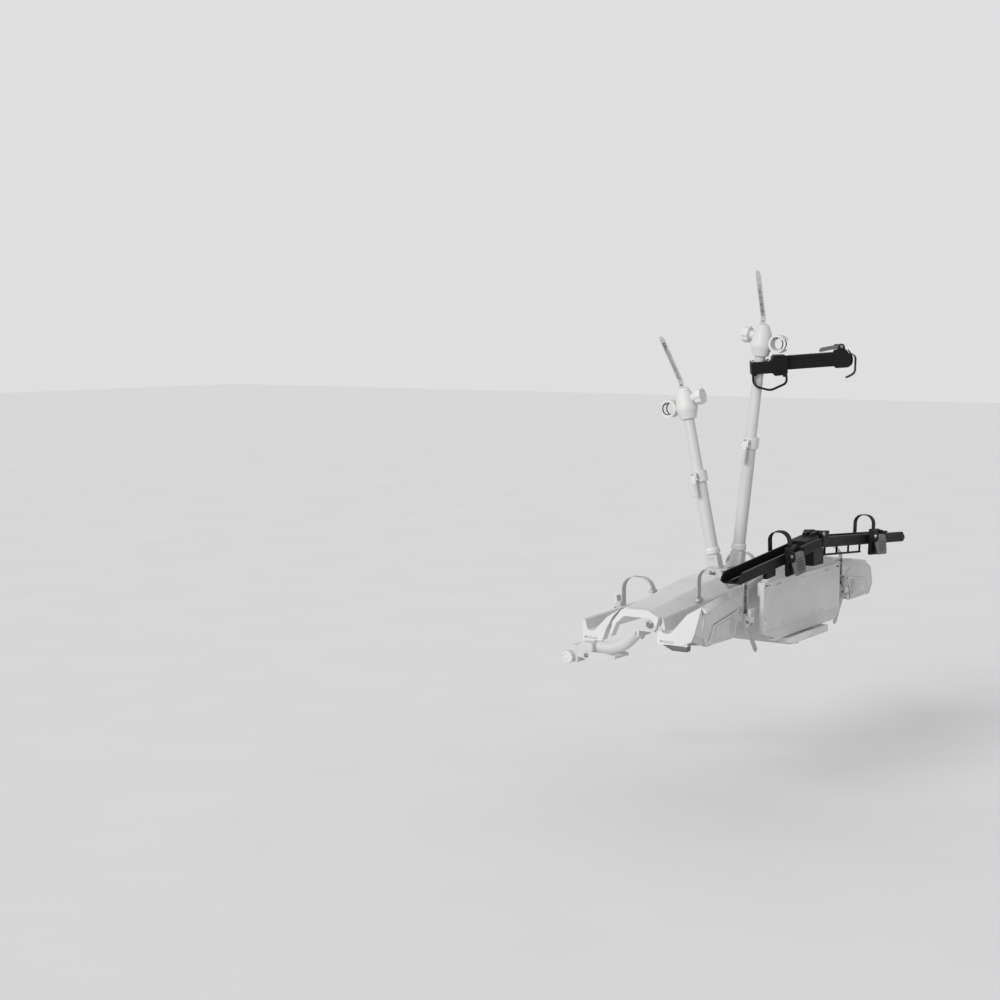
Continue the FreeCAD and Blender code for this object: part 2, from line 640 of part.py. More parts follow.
fork = node("hinge_fork")
fork_low = "dims.fork_end_z - dims.flange_tall / 2"
fork_high = "dims.fork_end_z + dims.flange_tall / 2"
side_outline(fork, [
    ("-dims.fork_face", fork_low), ("-dims.fork_face + dims.fork_plate", fork_low),
    ("-dims.fork_face + dims.fork_plate", fork_high), ("-dims.fork_face", fork_high),
], "-dims.fork_wide / 2", "dims.fork_wide / 2")
round_top = "dims.tilt_z + dims.fork_round"
round_low = "dims.tilt_z - dims.fork_round"
fork_end = "-dims.tilt_y - dims.fork_round"
near_round = "dims.fork_round - 0.5"
for side in SIDES.values():
    low, high = span(side, "dims.fork_wide / 2 - dims.fork_cheek", "dims.fork_wide / 2")
    side_outline(fork, [
        ("-dims.fork_face + 1", round_low), ("-dims.fork_face + 1", round_top),
        (fork_end, round_top, near_round), (fork_end, round_low, near_round),
    ], low, high)
across_rod(fork, "Subtractive", 0, "-dims.tilt_y", "dims.tilt_z", "dims.tilt_pin / 2 + dims.fit",
           "dims.fork_wide + 2")

tilt_pin = node("tilt_pin")
across_rod(tilt_pin, "Additive", 0, "-dims.tilt_y", "dims.tilt_z", "dims.tilt_pin / 2",
           "dims.fork_wide")
rod(tilt_pin, "Additive", ("dims.fork_wide / 2 + 0.2", "-dims.tilt_y", "dims.tilt_z"), "x",
    "dims.tilt_pin * 0.7", 4)
rod(tilt_pin, "Additive", ("dims.fork_wide / 2 - 1", "-dims.tilt_y", "dims.tilt_z"), "x",
    "dims.tilt_pin / 2", 4)

# The platform that tilts, with its two wheel trays.
tray_front = "-dims.lip_y - dims.lip_wide - dims.tray_wall"
tray_back = tray_front + " - dims.tray_flat"
two_front = "-dims.lip_two_y - dims.tray_wall"
two_back = two_front + " - dims.tray_flat - 3"


def tray_line(lip, ridge_y, ridge_z, front_z, rear_z, step_z, foot_y, foot_z, end_y, end_z):
    """The top line of the trays and the deck seen from the side, from front to rear."""
    return [
        ("-dims.lip_y", lip), ("-dims.lip_y - dims.lip_wide", lip + " - 2"),
        (tray_front, "dims.tray_one_z", "dims.tray_round"),
        (tray_back, "dims.tray_one_z", "dims.tray_round"),
        (ridge_y, ridge_z, "dims.deck_round"), ("-dims.deck_front", front_z, "dims.deck_round"),
        ("-dims.deck_rear", rear_z, "dims.deck_round"), ("-dims.lip_two_y", step_z, "dims.lip_round"),
        (two_front, "dims.tray_two_z", "dims.tray_round"),
        (two_back, "dims.tray_two_z", "dims.tray_round"),
        (foot_y, foot_z, "dims.deck_round"), (end_y, end_z),
    ]


base_line = [
    ("-dims.lip_y", "dims.lip_high"), ("-dims.lip_y - dims.lip_wide", "dims.lip_high - 2"),
    (tray_front, "dims.tray_one_z", "dims.tray_round"),
    (tray_back, "dims.tray_one_z", "dims.tray_round"),
    ("-dims.base_front", "dims.base_deck", "dims.deck_round"),
    ("-dims.lip_two_y + 12", "dims.base_deck", "dims.deck_round / 2"),
    (two_front, "dims.tray_two_z", "dims.tray_round"),
    (two_back, "dims.tray_two_z", "dims.tray_round"),
    ("-dims.wall_foot_y", "dims.base_deck", "dims.deck_round"), ("-dims.base_rear", "dims.base_deck"),
]
base_half = "dims.hinge_x - dims.side_gap"
chassis = node("centre_chassis")
side_outline(chassis, strip(base_line, "dims.skin", -1), "-(%s)" % base_half, base_half)
for side in SIDES.values():
    low, high = span(side, base_half + " - dims.side_plate", base_half)
    side_outline(chassis, base_line + [
        ("-dims.base_rear", "dims.base_deck - 40", 12), ("-dims.lip_two_y - 40", "dims.plate_under", 20),
        ("-dims.lip_y - 24", "dims.plate_under", 12), ("-dims.lip_y", "dims.lip_high - 22"),
    ], low, high)
beam_high = "dims.tray_one_z - dims.skin"
web_high = "dims.base_deck - 2"
WEBS = [
    (("-dims.base_rear", beam_high), ("-dims.deck_front + 10", "dims.tray_two_z - 2")),
    (("-dims.lip_two_y + 15", beam_high), ("-dims.deck_front + 10", web_high)),
    (("-dims.base_rear", beam_high), ("-dims.wall_foot_y - 4", web_high)),
]
for web_start, web_end in WEBS:
    both_sides(chassis, "Additive", "dims.beam_wide / 2 - dims.beam_wall", "dims.beam_wide / 2",
               web_start, web_end)

# The hollow main beam with the lug that tilts in the fork and the guides of the push rod.
beam = node("main_beam")
block(beam, "Additive", ("-dims.beam_wide / 2", "-dims.base_rear", "dims.beam_low"),
      ("dims.beam_wide / 2", "-dims.beam_front", beam_high))
block(beam, "Subtractive", ("-dims.beam_wide / 2 + dims.beam_wall", "-dims.base_rear - 1",
                            "dims.beam_low + dims.beam_wall"),
      ("dims.beam_wide / 2 - dims.beam_wall", "-dims.beam_front - dims.beam_wall",
       beam_high + " - dims.beam_wall"))
lug_half = "dims.fork_wide / 2 - dims.fork_cheek - dims.slip"
side_outline(beam, [
    ("-dims.beam_front - 2", round_low), ("-dims.beam_front - 2", round_top),
    ("-dims.tilt_y + dims.fork_round", round_top, near_round),
    ("-dims.tilt_y + dims.fork_round", round_low, near_round),
], "-(%s)" % lug_half, lug_half)
across_rod(beam, "Subtractive", 0, "-dims.tilt_y", "dims.tilt_z", "dims.tilt_pin / 2 + dims.fit",
           "dims.fork_wide")
across_rod(beam, "Additive", 0, "-dims.pedal_y", "dims.pedal_z", "dims.pedal_pin / 2",
           "2 * dims.pedal_x + 3 * dims.pedal_arm")
guide_low = "dims.rod_z - dims.rod_dia"
for station in ("-dims.rod_front - 40", "-dims.rod_front - 330"):
    block(beam, "Additive", ("dims.beam_wide / 2 - 2", station + " - 16", guide_low),
          ("dims.rod_x + dims.rod_dia", station, "dims.rod_z + 2 * dims.rod_dia"))
rod(beam, "Subtractive", ("dims.rod_x", "-dims.base_rear", "dims.rod_z"), "y",
    "dims.rod_dia / 2 + dims.slip", "dims.base_rear")

# The hollow post that carries the hood, the plate holder and the rail.
post = node("rear_post")
block(post, "Additive", ("-dims.post_wide / 2", "-dims.base_rear", "dims.base_deck"),
      ("dims.post_wide / 2", "-dims.post_front", "dims.post_top"))
block(post, "Subtractive", ("-dims.post_wide / 2 + dims.beam_wall", "-dims.base_rear + dims.beam_wall",
                            "dims.base_deck - 1"),
      ("dims.post_wide / 2 - dims.beam_wall", "-dims.post_front - dims.beam_wall",
       "dims.post_top - dims.beam_wall"))

# Knuckles of the wing hinges: the platform holds the outer ones of each group of three.
ZONES = {
    "front": ("-dims.zone_front", "dims.knuckle_long"),
    "rear": ("-dims.zone_rear", "dims.knuckle_short"),
}


def knuckle(body, side, position, length, toward_wing):
    """One hinge knuckle with the ear that ties it to its own side plate."""
    centre = "%d * dims.hinge_x" % side
    rod(body, "Additive", (centre, position, "dims.hinge_z"), "y", "dims.knuckle / 2", length)
    reach = "dims.side_gap + dims.side_plate"
    if toward_wing:
        low, high = span(side, "dims.hinge_x", "dims.hinge_x + " + reach)
    else:
        low, high = span(side, "dims.hinge_x - %s" % reach.replace("+", "-"), "dims.hinge_x")
    ear_top = "dims.hinge_z + dims.knuckle / 2" if toward_wing else "dims.hinge_z"
    block(body, "Additive", (low, position, "dims.hinge_z - dims.knuckle / 2"),
          (high, "%s + (%s)" % (position, length), ear_top))


for side in SIDES.values():
    for zone, (front, length) in ZONES.items():
        knuckle(chassis, side, "%s - (%s)" % (front, length), length, False)
        knuckle(chassis, side, "%s - 3 * (%s) - 2 * dims.hinge_room" % (front, length), length, False)
        rod(chassis, "Additive",
            ("%d * dims.hinge_x" % side, "%s - 3 * (%s) - 2 * dims.hinge_room" % (front, length),
             "dims.hinge_z"), "y", "dims.hinge_rod / 2", "3 * (%s) + 2 * dims.hinge_room" % length)

# The hood slopes from its ridge to its brim and ends in a tip on either side.
hood = node("rear_hood")
half_plate = "dims.plate_wide / 2"
roof_low = "dims.plate_high + dims.slip"
side_outline(hood, [
    ("-dims.base_rear", "dims.plate_high - dims.hood_skirt"),
    ("-dims.plate_back", "dims.plate_high - dims.hood_skirt"), ("-dims.plate_back", roof_low),
    ("-dims.hood_brim", roof_low), ("-dims.hood_ridge", "dims.hood_top", 6),
    ("-dims.base_rear", "dims.hood_top"),
], "-(%s)" % half_plate, half_plate)
for side in SIDES.values():
    corner = sketch(hood, "XZ_Plane", "dims.base_rear - 1")
    outline(corner, [
        ("%d * (%s + 1)" % (side, half_plate), roof_low + " + 3"),
        ("%d * (%s - dims.hood_tip)" % (side, half_plate), roof_low + " + 3"),
        ("%d * dims.hood_flat" % side, "dims.hood_top", "dims.hood_round"),
        ("%d * (dims.hood_flat - 60)" % side, "dims.hood_top"),
        ("%d * (dims.hood_flat - 60)" % side, "dims.hood_top + 9"),
        ("%d * (%s + 1)" % (side, half_plate), "dims.hood_top + 9"),
    ])
    pocket(hood, corner, "dims.hood_brim - dims.base_rear + 2", back=True)

# The plate holder: a shell open to the car with a flared lip below the plate.
holder = node("plate_holder")
holder_rear = "-dims.plate_back - dims.plate_deep"
holder_made = sketch(holder, "XZ_Plane", "dims.plate_back")
outline(holder_made, [
    ("-(%s)" % half_plate, "dims.plate_step"), (half_plate, "dims.plate_step"),
    (half_plate, "dims.plate_high", 14), ("-(%s)" % half_plate, "dims.plate_high", 6),
])
pad(holder, holder_made, "dims.plate_deep")
hollow = sketch(holder, "XZ_Plane", "dims.plate_back")
outline(hollow, [
    ("-(%s) + dims.plate_skin" % half_plate, "dims.plate_step + dims.plate_skin"),
    (half_plate + " - dims.plate_skin", "dims.plate_step + dims.plate_skin"),
    (half_plate + " - dims.plate_skin", "dims.plate_high - 14"),
    ("-(%s) + dims.plate_skin" % half_plate, "dims.plate_high - 14"),
])
pocket(holder, hollow, "dims.plate_deep - dims.plate_skin", back=True)
lip_half = half_plate + " + dims.lip_out"
side_outline(holder, [
    ("-dims.plate_back", "dims.plate_step - dims.plate_skin"), ("-dims.plate_back", "dims.plate_step + 1"),
    (holder_rear, "dims.plate_step + 1"), ("-dims.lip_rear", "dims.plate_low", 3),
    ("-dims.lip_rear + dims.plate_skin + 2", "dims.plate_low"),
    (holder_rear + " + dims.plate_skin", "dims.plate_step - dims.plate_skin"),
], "-(%s)" % lip_half, lip_half)
for side in SIDES.values():
    bevel = sketch(holder, "XZ_Plane", "dims.plate_back - 1")
    outline(bevel, [
        ("%d * (%s + 1)" % (side, lip_half), "dims.plate_step + 1"),
        ("%d * (%s + 1)" % (side, lip_half), "dims.plate_low - 1"),
        ("%d * dims.plate_foot_wide / 2" % side, "dims.plate_low - 1"),
    ])
    pocket(holder, bevel, "dims.lip_rear - dims.plate_back + 2", back=True)

bracket = node("mast_bracket")
block(bracket, "Additive",
      ("-dims.bracket_wide / 2", "-dims.mast_y - dims.bracket_long / 2", "dims.base_deck"),
      ("dims.bracket_wide / 2", "-dims.mast_y + dims.bracket_long / 2", "dims.base_deck + dims.bracket_plate"))
lug_side = "dims.mast_lug / 2 + dims.slip"
for side in SIDES.values():
    for near in (lug_side, "-(%s) - dims.bracket_plate" % lug_side):
        start = "%d * dims.mast_x + (%s)" % (side, near)
        side_outline(bracket, [
            ("-dims.mast_y - dims.bracket_long / 2 + 10", "dims.base_deck + 2"),
            ("-dims.mast_y - 24", "dims.mast_z + 24", 22), ("-dims.mast_y + 24", "dims.mast_z + 24", 22),
            ("-dims.mast_y + dims.bracket_long / 2 - 10", "dims.base_deck + 2"),
        ], start, start + " + dims.bracket_plate")
across_rod(bracket, "Subtractive", 0, "-dims.mast_y", "dims.mast_z", "dims.mast_pin / 2 + dims.fit",
           "dims.bracket_wide + 4")
mast_pin = node("mast_pin")
across_rod(mast_pin, "Additive", 0, "-dims.mast_y", "dims.mast_z", "dims.mast_pin / 2",
           "dims.bracket_wide")

# The pedal with its see-through grip and the push rod under the platform.
pedal = node("release_pedal")
pedal_half = "dims.pedal_wide / 2"
pedal_face = "dims.pedal_low + dims.pedal_thick"
side_outline(pedal, [
    ("-dims.pedal_front", "dims.pedal_low"), ("-dims.pedal_front", pedal_face),
    ("-dims.pedal_slot_front - 2", pedal_face, 20), ("-dims.pedal_rear", "dims.pedal_high", 5),
    ("-dims.pedal_rear", "dims.pedal_high - 13", 5), ("-dims.pedal_slot_rear", "dims.pedal_low", 20),
], "-(%s)" % pedal_half, pedal_half)
for side in SIDES.values():
    corner = sketch(pedal, "XY_Plane", "dims.pedal_low - 1")
    outline(corner, [
        ("%d * (%s + 1)" % (side, pedal_half), "-dims.pedal_front - 8"),
        ("%d * (%s - 10)" % (side, pedal_half), "-dims.pedal_slot_front - 8", 50),
        ("%d * (%s - dims.pedal_taper)" % (side, pedal_half), "-dims.pedal_rear - 1"),
        ("%d * (%s + 1)" % (side, pedal_half), "-dims.pedal_rear - 1"),
    ])
    pocket(pedal, corner, "dims.pedal_high - dims.pedal_low + 2", back=True)
slot = sketch(pedal, "XY_Plane", "dims.pedal_low - 1")
outline(slot, [
    ("-dims.pedal_slot / 2", "-dims.pedal_slot_front", 9), ("dims.pedal_slot / 2", "-dims.pedal_slot_front", 9),
    ("dims.pedal_slot / 2", "-dims.pedal_slot_rear", 9), ("-dims.pedal_slot / 2", "-dims.pedal_slot_rear", 9),
])
pocket(pedal, slot, "dims.pedal_high - dims.pedal_low + 2", back=True)
arm_low = "dims.pedal_z - dims.pedal_pin"
arm_high = "dims.pedal_z + dims.pedal_pin - 4"
for side in SIDES.values():
    low, high = span(side, "dims.pedal_x", "dims.pedal_x + dims.pedal_arm")
    side_outline(pedal, [
        ("-dims.pedal_front - 4", arm_low), ("-dims.pedal_y + dims.pedal_pin", arm_low, 7),
        ("-dims.pedal_y + dims.pedal_pin", arm_high, 7), ("-dims.pedal_front - 4", arm_high),
    ], low, high)
block(pedal, "Additive", ("dims.pedal_x", "-dims.pedal_y - 6", "dims.rod_z - dims.rod_dia"),
      ("dims.pedal_x + dims.pedal_arm", "-dims.pedal_y + 6", "dims.pedal_z"))
across_rod(pedal, "Subtractive", 0, "-dims.pedal_y", "dims.pedal_z", "dims.pedal_pin / 2 + dims.fit",
           "dims.pedal_wide")
push_rod = node("push_rod")
rod(push_rod, "Additive", ("dims.rod_x", "-dims.pedal_y + 6.5", "dims.rod_z"), "y", "dims.rod_dia / 2",
    "dims.pedal_y - 6.5 - dims.rod_front")
rod(push_rod, "Additive", ("dims.rod_x", "-dims.rod_front - 6", "dims.rod_z"), "y", "dims.rod_dia", 6)

# The folding wings: a skin that rises to the middle, its end frame, light and wheel straps.
outer_line = tray_line("dims.lip_low", "-dims.ridge_out", "dims.lip_high", "dims.deck_low",
                       "dims.deck_low", "dims.step_low", "-dims.wall_foot_y", "dims.deck_low",
                       "-dims.wall_lean_low", "dims.wall_top_low")
inner_line = tray_line("dims.lip_high", "-dims.ridge_in", "dims.ridge_high", "dims.deck_high",
                       "dims.deck_high", "dims.step_high", "-dims.wall_foot_y", "dims.wall_foot_high",
                       "-dims.wall_lean_high", "dims.wall_top_high")
wing_near = "dims.hinge_x + dims.side_gap"
wing_far = "dims.wing_end - dims.end_thick"
for name, side in SIDES.items():
    deck = node("wing_deck_" + name)
    first = sketch(deck, "YZ_Plane", "%d * (%s)" % (side, wing_far))
    outline(first, strip(outer_line, "dims.skin", -1))
    second = sketch(deck, "YZ_Plane", "%d * (%s)" % (side, wing_near))
    outline(second, strip(inner_line, "dims.skin", -1))
    loft = deck.newObject("PartDesign::AdditiveLoft", deck.Name + "_loft")
    loft.Profile = first
    loft.Sections = [second]
    loft.Ruled = True
    low, high = span(side, wing_near, wing_near + " + dims.side_plate")
    side_outline(deck, [(spot[0], spot[1] + " - dims.plate_drop") + spot[2:] for spot in inner_line] + [
        ("-dims.wall_lean_high", "dims.hinge_z - 20", 12), ("-dims.lip_two_y - 40", "dims.plate_under", 20),
        ("-dims.lip_y - 24", "dims.plate_under", 12), ("-dims.lip_y", "dims.lip_high - 22"),
    ], low, high)
    for zone, (front, length) in ZONES.items():
        knuckle(deck, side, "%s - 2 * (%s) - dims.hinge_room" % (front, length), length, True)
        rod(deck, "Subtractive", ("%d * dims.hinge_x" % side, "%s - 4 * (%s)" % (front, length),
            "dims.hinge_z"), "y", "dims.hinge_rod / 2 + dims.fit", "4 * (%s)" % length)
    tab = sketch(deck, "XZ_Plane", "dims.light_front - 5")
    tab_near = "%d * (dims.light_in + 40)" % side
    tab_far = "%d * (dims.light_in + 150)" % side
    outline(tab, [
        (tab_near, "dims.light_low + 25"), (tab_far, "dims.light_low + 25"),
        (tab_far, "dims.deck_low + 6"), (tab_near, "dims.deck_low + 15"),
    ])
    pad(deck, tab, "5")

    frame = node("end_frame_" + name)
    low, high = span(side, wing_far, wing_far + " + 9")
    side_outline(frame, strip(outer_line, "dims.skin + 3", -1), low, high)
    low, high = span(side, wing_far, "dims.wing_end")
    side_outline(frame, outer_line[:5] + [
        ("-dims.deck_front + 8", "dims.deck_low - 4"), ("-489", "268", 8), ("-464", "224", 8), ("-450", "186", 6),
        ("-dims.lip_y - 2", "181", 4),
    ], low, high)
    side_outline(frame, [
        ("-482", "203"), ("-485", "248", 12), ("-dims.deck_front", "dims.deck_low", 30),
        ("-dims.deck_rear", "dims.deck_low", 20), ("-650", "277"), ("-642", "248"), ("-621", "272", 10),
        ("-528", "272", 20), ("-500", "246", 8),
    ], low, high)
    side_outline(frame, outer_line[7:] + [
        ("-dims.wall_lean_low + 4", "dims.wall_top_low - 8"), ("-773", "234", 12), ("-763", "213", 8),
        ("-732", "199", 8), ("-649", "196", 6), ("-644", "208"),
    ], low, high)
    low, high = span(side, "dims.wing_end - dims.end_thick + 4", "dims.wing_end - 3")
    side_outline(frame, [
        ("-dims.foot_y", "dims.slot_two_z"), ("-dims.foot_y - 8", "dims.foot_low", 4),
        ("-dims.foot_y - dims.foot_long + 3", "dims.foot_low", 4), ("-dims.foot_y - dims.foot_long", "dims.slot_two_z + 6"),
    ], low, high)
    low, high = span(side, "dims.wing_end - dims.slot_deep", "dims.wing_end + 1")
    for first_y, first_z in (("dims.slot_one_y", "dims.slot_one_z"), ("dims.slot_two_y", "dims.slot_two_z")):
        block(frame, "Subtractive", (low, "-%s - dims.slot_long" % first_y, first_z),
              (high, "-%s" % first_y, "%s + dims.slot_tall" % first_z))

    light = node("light_housing_" + name)
    light_made = sketch(light, "XZ_Plane", "dims.light_step")
    shape = [
        ("dims.light_in + 22", "dims.light_low + 3", 10), ("dims.light_out - 28", "dims.light_low + 5", 8),
        ("dims.light_out - 1", "dims.light_low + 38", 8), ("dims.light_out - 18", "dims.light_low + 101", 8),
        ("dims.light_out - 58", "dims.light_low + 110", 10), ("dims.light_in + 60", "dims.light_high", 14),
        ("dims.light_in - 3", "dims.light_low + 99", 8),
    ]
    outline(light_made, [("%d * (%s)" % (side, item[0]),) + item[1:] for item in shape])
    pad(light, light_made, "dims.light_face - dims.light_step")
    low, high = span(side, "dims.light_in + 30", "dims.light_in + 180")
    block(light, "Additive", (low, "-dims.light_step - 2", "dims.light_low + 12"),
          (high, "-dims.light_front", "dims.light_low + 82"))
    lens_shape = [
        ("dims.light_in + 37", "dims.light_low + 2 + 6", 5), ("dims.light_out - 34", "dims.light_low + 13", 5),
        ("dims.light_out - 57", "dims.light_low + 43"), ("dims.light_out - 65", "dims.light_low + 64", 5),
        ("dims.light_in + 6", "dims.light_high - 42", 5),
    ]
    seat = sketch(light, "XZ_Plane", "dims.light_face - dims.lens_sunk")
    outline(seat, [("%d * (%s)" % (side, item[0]),) + item[1:] for item in lens_shape])
    pocket(light, seat, "dims.lens_sunk + 1", back=True)
    lens = node("light_lens_" + name)
    lens_made = sketch(lens, "XZ_Plane", "dims.light_face - dims.lens_sunk")
    outline(lens_made, [("%d * (%s)" % (side, item[0]),) + item[1:] for item in lens_shape])
    pad(lens, lens_made, "dims.lens_sunk + dims.lens_proud")


def band(body, middle, path, width, thickness, side=1):
    """A flat band that follows a path seen from the side."""
    made = sketch(body, "YZ_Plane", "(%s) - (%s) / 2" % (middle, width))
    outline(made, strip(path, thickness, side))
    pad(body, made, width)


# Wheel straps: a band from a seat on the deck over the wheel to a hook with a ratchet buckle.
STRAPS = {
    "front": {"way": 1, "seat": "-dims.front_seat_y", "hook": "-dims.lip_y + dims.hook_gap"},
    "rear": {"way": -1, "seat": "-dims.rear_seat_y", "hook": "-dims.rear_hook"},
}


def wheel_strap(name, side, tray):
    """One strap with its buckle, and the lever of the buckle."""
    way = STRAPS[tray]["way"]
    seat = STRAPS[tray]["seat"]
    hook = STRAPS[tray]["hook"]
    foot = "dims.%s_seat" % tray
    land = "dims.%s_land" % tray
    top = "dims.%s_top" % tray
    middle = "%d * dims.strap_x" % side
    low = "%s - dims.buckle_wide / 2" % middle

    def out(distance):
        return "%s + %d * (dims.strap_thick + %s)" % (hook, way, distance)

    strap = node("wheel_strap_%s_%s" % (tray, name))
    band(strap, middle, [
        (seat, foot), (seat, top, "dims.strap_bow"), (hook, top, "dims.strap_bow"), (hook, land),
    ], "dims.strap_wide", "dims.strap_thick", -way)
    side_outline(strap, [
        (out(-0.5), land), (out(-0.5), land + " + 50"), (out(10), land + " + 50", 4), (out(10), land, 4),
    ], low, low + " + dims.buckle_wide")
    for start in (low, low + " + dims.buckle_wide - dims.ear"):
        side_outline(strap, [
            (out(8), land + " + 16"), (out(24), land + " + 16", 6), (out(24), land + " + 36", 6),
            (out(8), land + " + 36"),
        ], start, start + " + dims.ear")
    pin_y = out(17)
    pin_z = land + " + 25"
    rod(strap, "Additive", (low, pin_y, pin_z), "x", "dims.lever_pin / 2", "dims.buckle_wide")
    if tray == "rear":
        tail = sketch(strap, "XZ_Plane", "dims.tail_y")
        lean = "%s - %d * dims.tail_lean" % (middle, side)
        outline(tail, [
            (middle + " - dims.strap_wide / 2", land + " + 10"), (middle + " + dims.strap_wide / 2", land + " + 10"),
            (lean + " + dims.strap_wide / 2", "dims.tail_low + 8"), (lean, "dims.tail_low", 3),
            (lean + " - dims.strap_wide / 2", "dims.tail_low + 8"),
        ])
        pad(strap, tail, "dims.strap_thick")
    handle = node("strap_lever_%s_%s" % (tray, name))
    side_outline(handle, [
        (out(11), pin_z + " - 6", 5.9), (out(23), pin_z + " - 6", 5.9), (out(25), pin_z + " + 40", 3),
        (out(19), pin_z + " + 42", 3), (out(11), pin_z + " + 10", 5),
    ], low + " + dims.ear + dims.slip", low + " + dims.buckle_wide - dims.ear - dims.slip")
    rod(handle, "Subtractive", (low, pin_y, pin_z), "x", "dims.lever_pin / 2 + dims.fit",
        "dims.buckle_wide")


for name, side in SIDES.items():
    for tray in STRAPS:
        wheel_strap(name, side, tray)

# The two masts, each built upright about its pivot and then leaned.
MASTS = {
    "one": {"side": -1, "lean": -1, "claw": 1},
    "two": {"side": 1, "lean": 1, "claw": -1},
}


def stand(body, name):
    """Lean a finished body with its mast."""
    mast = MASTS[name]
    body.Placement = Placement(Vector(), Rotation(Vector(mast["lean"], 0, 0), size(name + "_lean")))
    body.setExpression("Placement.Base.x", "%d * dims.mast_x" % mast["side"])
    body.setExpression("Placement.Base.y", "-dims.mast_y")
    body.setExpression("Placement.Base.z", "dims.mast_z")
    body.setExpression("Placement.Rotation.Angle", "dims.%s_lean" % name)


for name, mast in MASTS.items():
    top = "dims.%s_lower" % name
    head = "dims.%s_long" % name
    lower = node("mast_%s_lower" % name)
    side_outline(lower, [
        ("-dims.mast_dia / 2", "-dims.mast_dia / 2", "dims.mast_dia / 2 - 1"),
        ("dims.mast_dia / 2", "-dims.mast_dia / 2", "dims.mast_dia / 2 - 1"),
        ("dims.mast_dia / 2", "dims.mast_plug - 2", 6), ("-dims.mast_dia / 2", "dims.mast_plug - 2", 6),
    ], "-dims.mast_lug / 2", "dims.mast_lug / 2")
    rod(lower, "Additive", (0, 0, "dims.mast_start"), "z", "dims.mast_dia / 2", top + " - dims.mast_start")
    rod(lower, "Subtractive", (0, 0, "dims.mast_plug"), "z", "dims.mast_dia / 2 - dims.mast_wall", top)
    across_rod(lower, "Subtractive", 0, 0, 0, "dims.mast_pin / 2 + dims.fit", "dims.mast_lug + 2")
    stand(lower, name)

    upper = node("mast_%s_upper" % name)
    rod(upper, "Additive", (0, 0, top + " - dims.tube_overlap"), "z", "dims.inner_dia / 2",
        "%s - 6 - %s + dims.tube_overlap" % (head, top))
    rod(upper, "Subtractive", (0, 0, top + " - dims.tube_overlap - 1"), "z",
        "dims.inner_dia / 2 - dims.inner_wall", "%s - 12 - %s + dims.tube_overlap" % (head, top))
    stand(upper, name)

    collar = node("mast_%s_collar" % name)
    rod(collar, "Additive", (0, 0, top + " - dims.collar_tall + 8"), "z", "dims.collar_dia / 2",
        "dims.collar_tall")
    block(collar, "Additive", ("-dims.collar_dia / 2 - 14", -12, top + " - dims.collar_tall + 14"),
          ("-dims.mast_dia / 2 - 2", 12, top + " + 2"))
    rod(collar, "Subtractive", (0, 0, top + " - dims.collar_tall"), "z",
        "dims.mast_dia / 2 + dims.slip", "dims.collar_tall + 0.3")
    rod(collar, "Subtractive", (0, 0, top), "z", "dims.inner_dia / 2 + dims.slip", 20)
    cam_z = top + " - 10"
    cam_x = "-dims.collar_dia / 2 - 8"
    block(collar, "Subtractive", ("-dims.collar_dia / 2 - 16", "-dims.cam / 2 - dims.slip", top + " - 40"),
          ("-dims.collar_dia / 2 + 2", "dims.cam / 2 + dims.slip", top + " + 20"))
    rod(collar, "Additive", (cam_x, -12, cam_z), "y", "dims.lever_pin / 2", 24)
    stand(collar, name)

    cam = node("mast_%s_lever" % name)
    cam_made = sketch(cam, "XZ_Plane", "-dims.cam / 2")
    outline(cam_made, [
        (cam_x + " - 7", "%s + 7" % cam_z, 5), (cam_x + " - 11", "%s - 66" % cam_z, 4),
        (cam_x + " - 3", "%s - 66" % cam_z, 3), (cam_x + " + 7", "%s - 7" % cam_z, 5),
        (cam_x + " + 7", "%s + 7" % cam_z, 5),
    ])
    pad(cam, cam_made, "dims.cam")
    rod(cam, "Subtractive", (cam_x, -12, cam_z), "y", "dims.lever_pin / 2 + dims.fit", 24)
    stand(cam, name)

    claw = node("mast_%s_claw" % name)
    toward = mast["claw"]
    egg = sketch(claw, "XZ_Plane")
    outline(egg, [
        (0, head + " - dims.head_below"), ("dims.head_dia / 3", head + " - dims.head_below", 8),
        ("dims.head_dia / 2", head + " - 12", 34), ("dims.head_dia / 2 - 8", head + " + 30", 30),
        ("dims.head_dia / 5", head + " + dims.head_above", 16), (0, head + " + dims.head_above"),
    ])
    turned = claw.newObject("PartDesign::Revolution", claw.Name + "_egg")
    turned.Profile = egg
    turned.ReferenceAxis = (egg, ["V_Axis"])
    turned.Angle = 360
    claw_y = "%d * dims.claw_out" % toward
    across_rod(claw, "Additive", 0, claw_y, head, "dims.claw_bore / 2 + dims.claw_wall", "dims.claw_wide")
    across_rod(claw, "Subtractive", 0, claw_y, head, "dims.claw_bore / 2", "dims.head_dia + 4")
    if toward > 0:
        block(claw, "Subtractive", (-60, claw_y, head + " - 15"), (60, claw_y + " + 60", head + " + 15"))
    else:
        block(claw, "Subtractive", (-60, claw_y + " - 60", head + " - 15"), (60, claw_y, head + " + 15"))
    rod(claw, "Subtractive", (0, 0, head + " - dims.head_below - 1"), "z",
        "dims.inner_dia / 2 + dims.slip", "dims.head_below - 4")
    grip_z = head + " + 20"
    if toward > 0:
        rod(claw, "Additive", (0, "-dims.grip_out", grip_z), "y", 15, "dims.grip_out - 10")
        rod(claw, "Subtractive", (0, "-dims.grip_out - 1", grip_z), "y", 6.1, "dims.grip_out - 8")
    else:
        rod(claw, "Additive", (0, 10, grip_z), "y", 15, "dims.grip_out - 10")
        rod(claw, "Subtractive", (0, 9, grip_z), "y", 6.1, "dims.grip_out - 8")
    block(claw, "Subtractive", (-14, "-dims.tail_wide / 2 - 0.3", head + " + 40"),
          (-10, "dims.tail_wide / 2 + 0.3", head + " + dims.head_above + 10"))
    stand(claw, name)

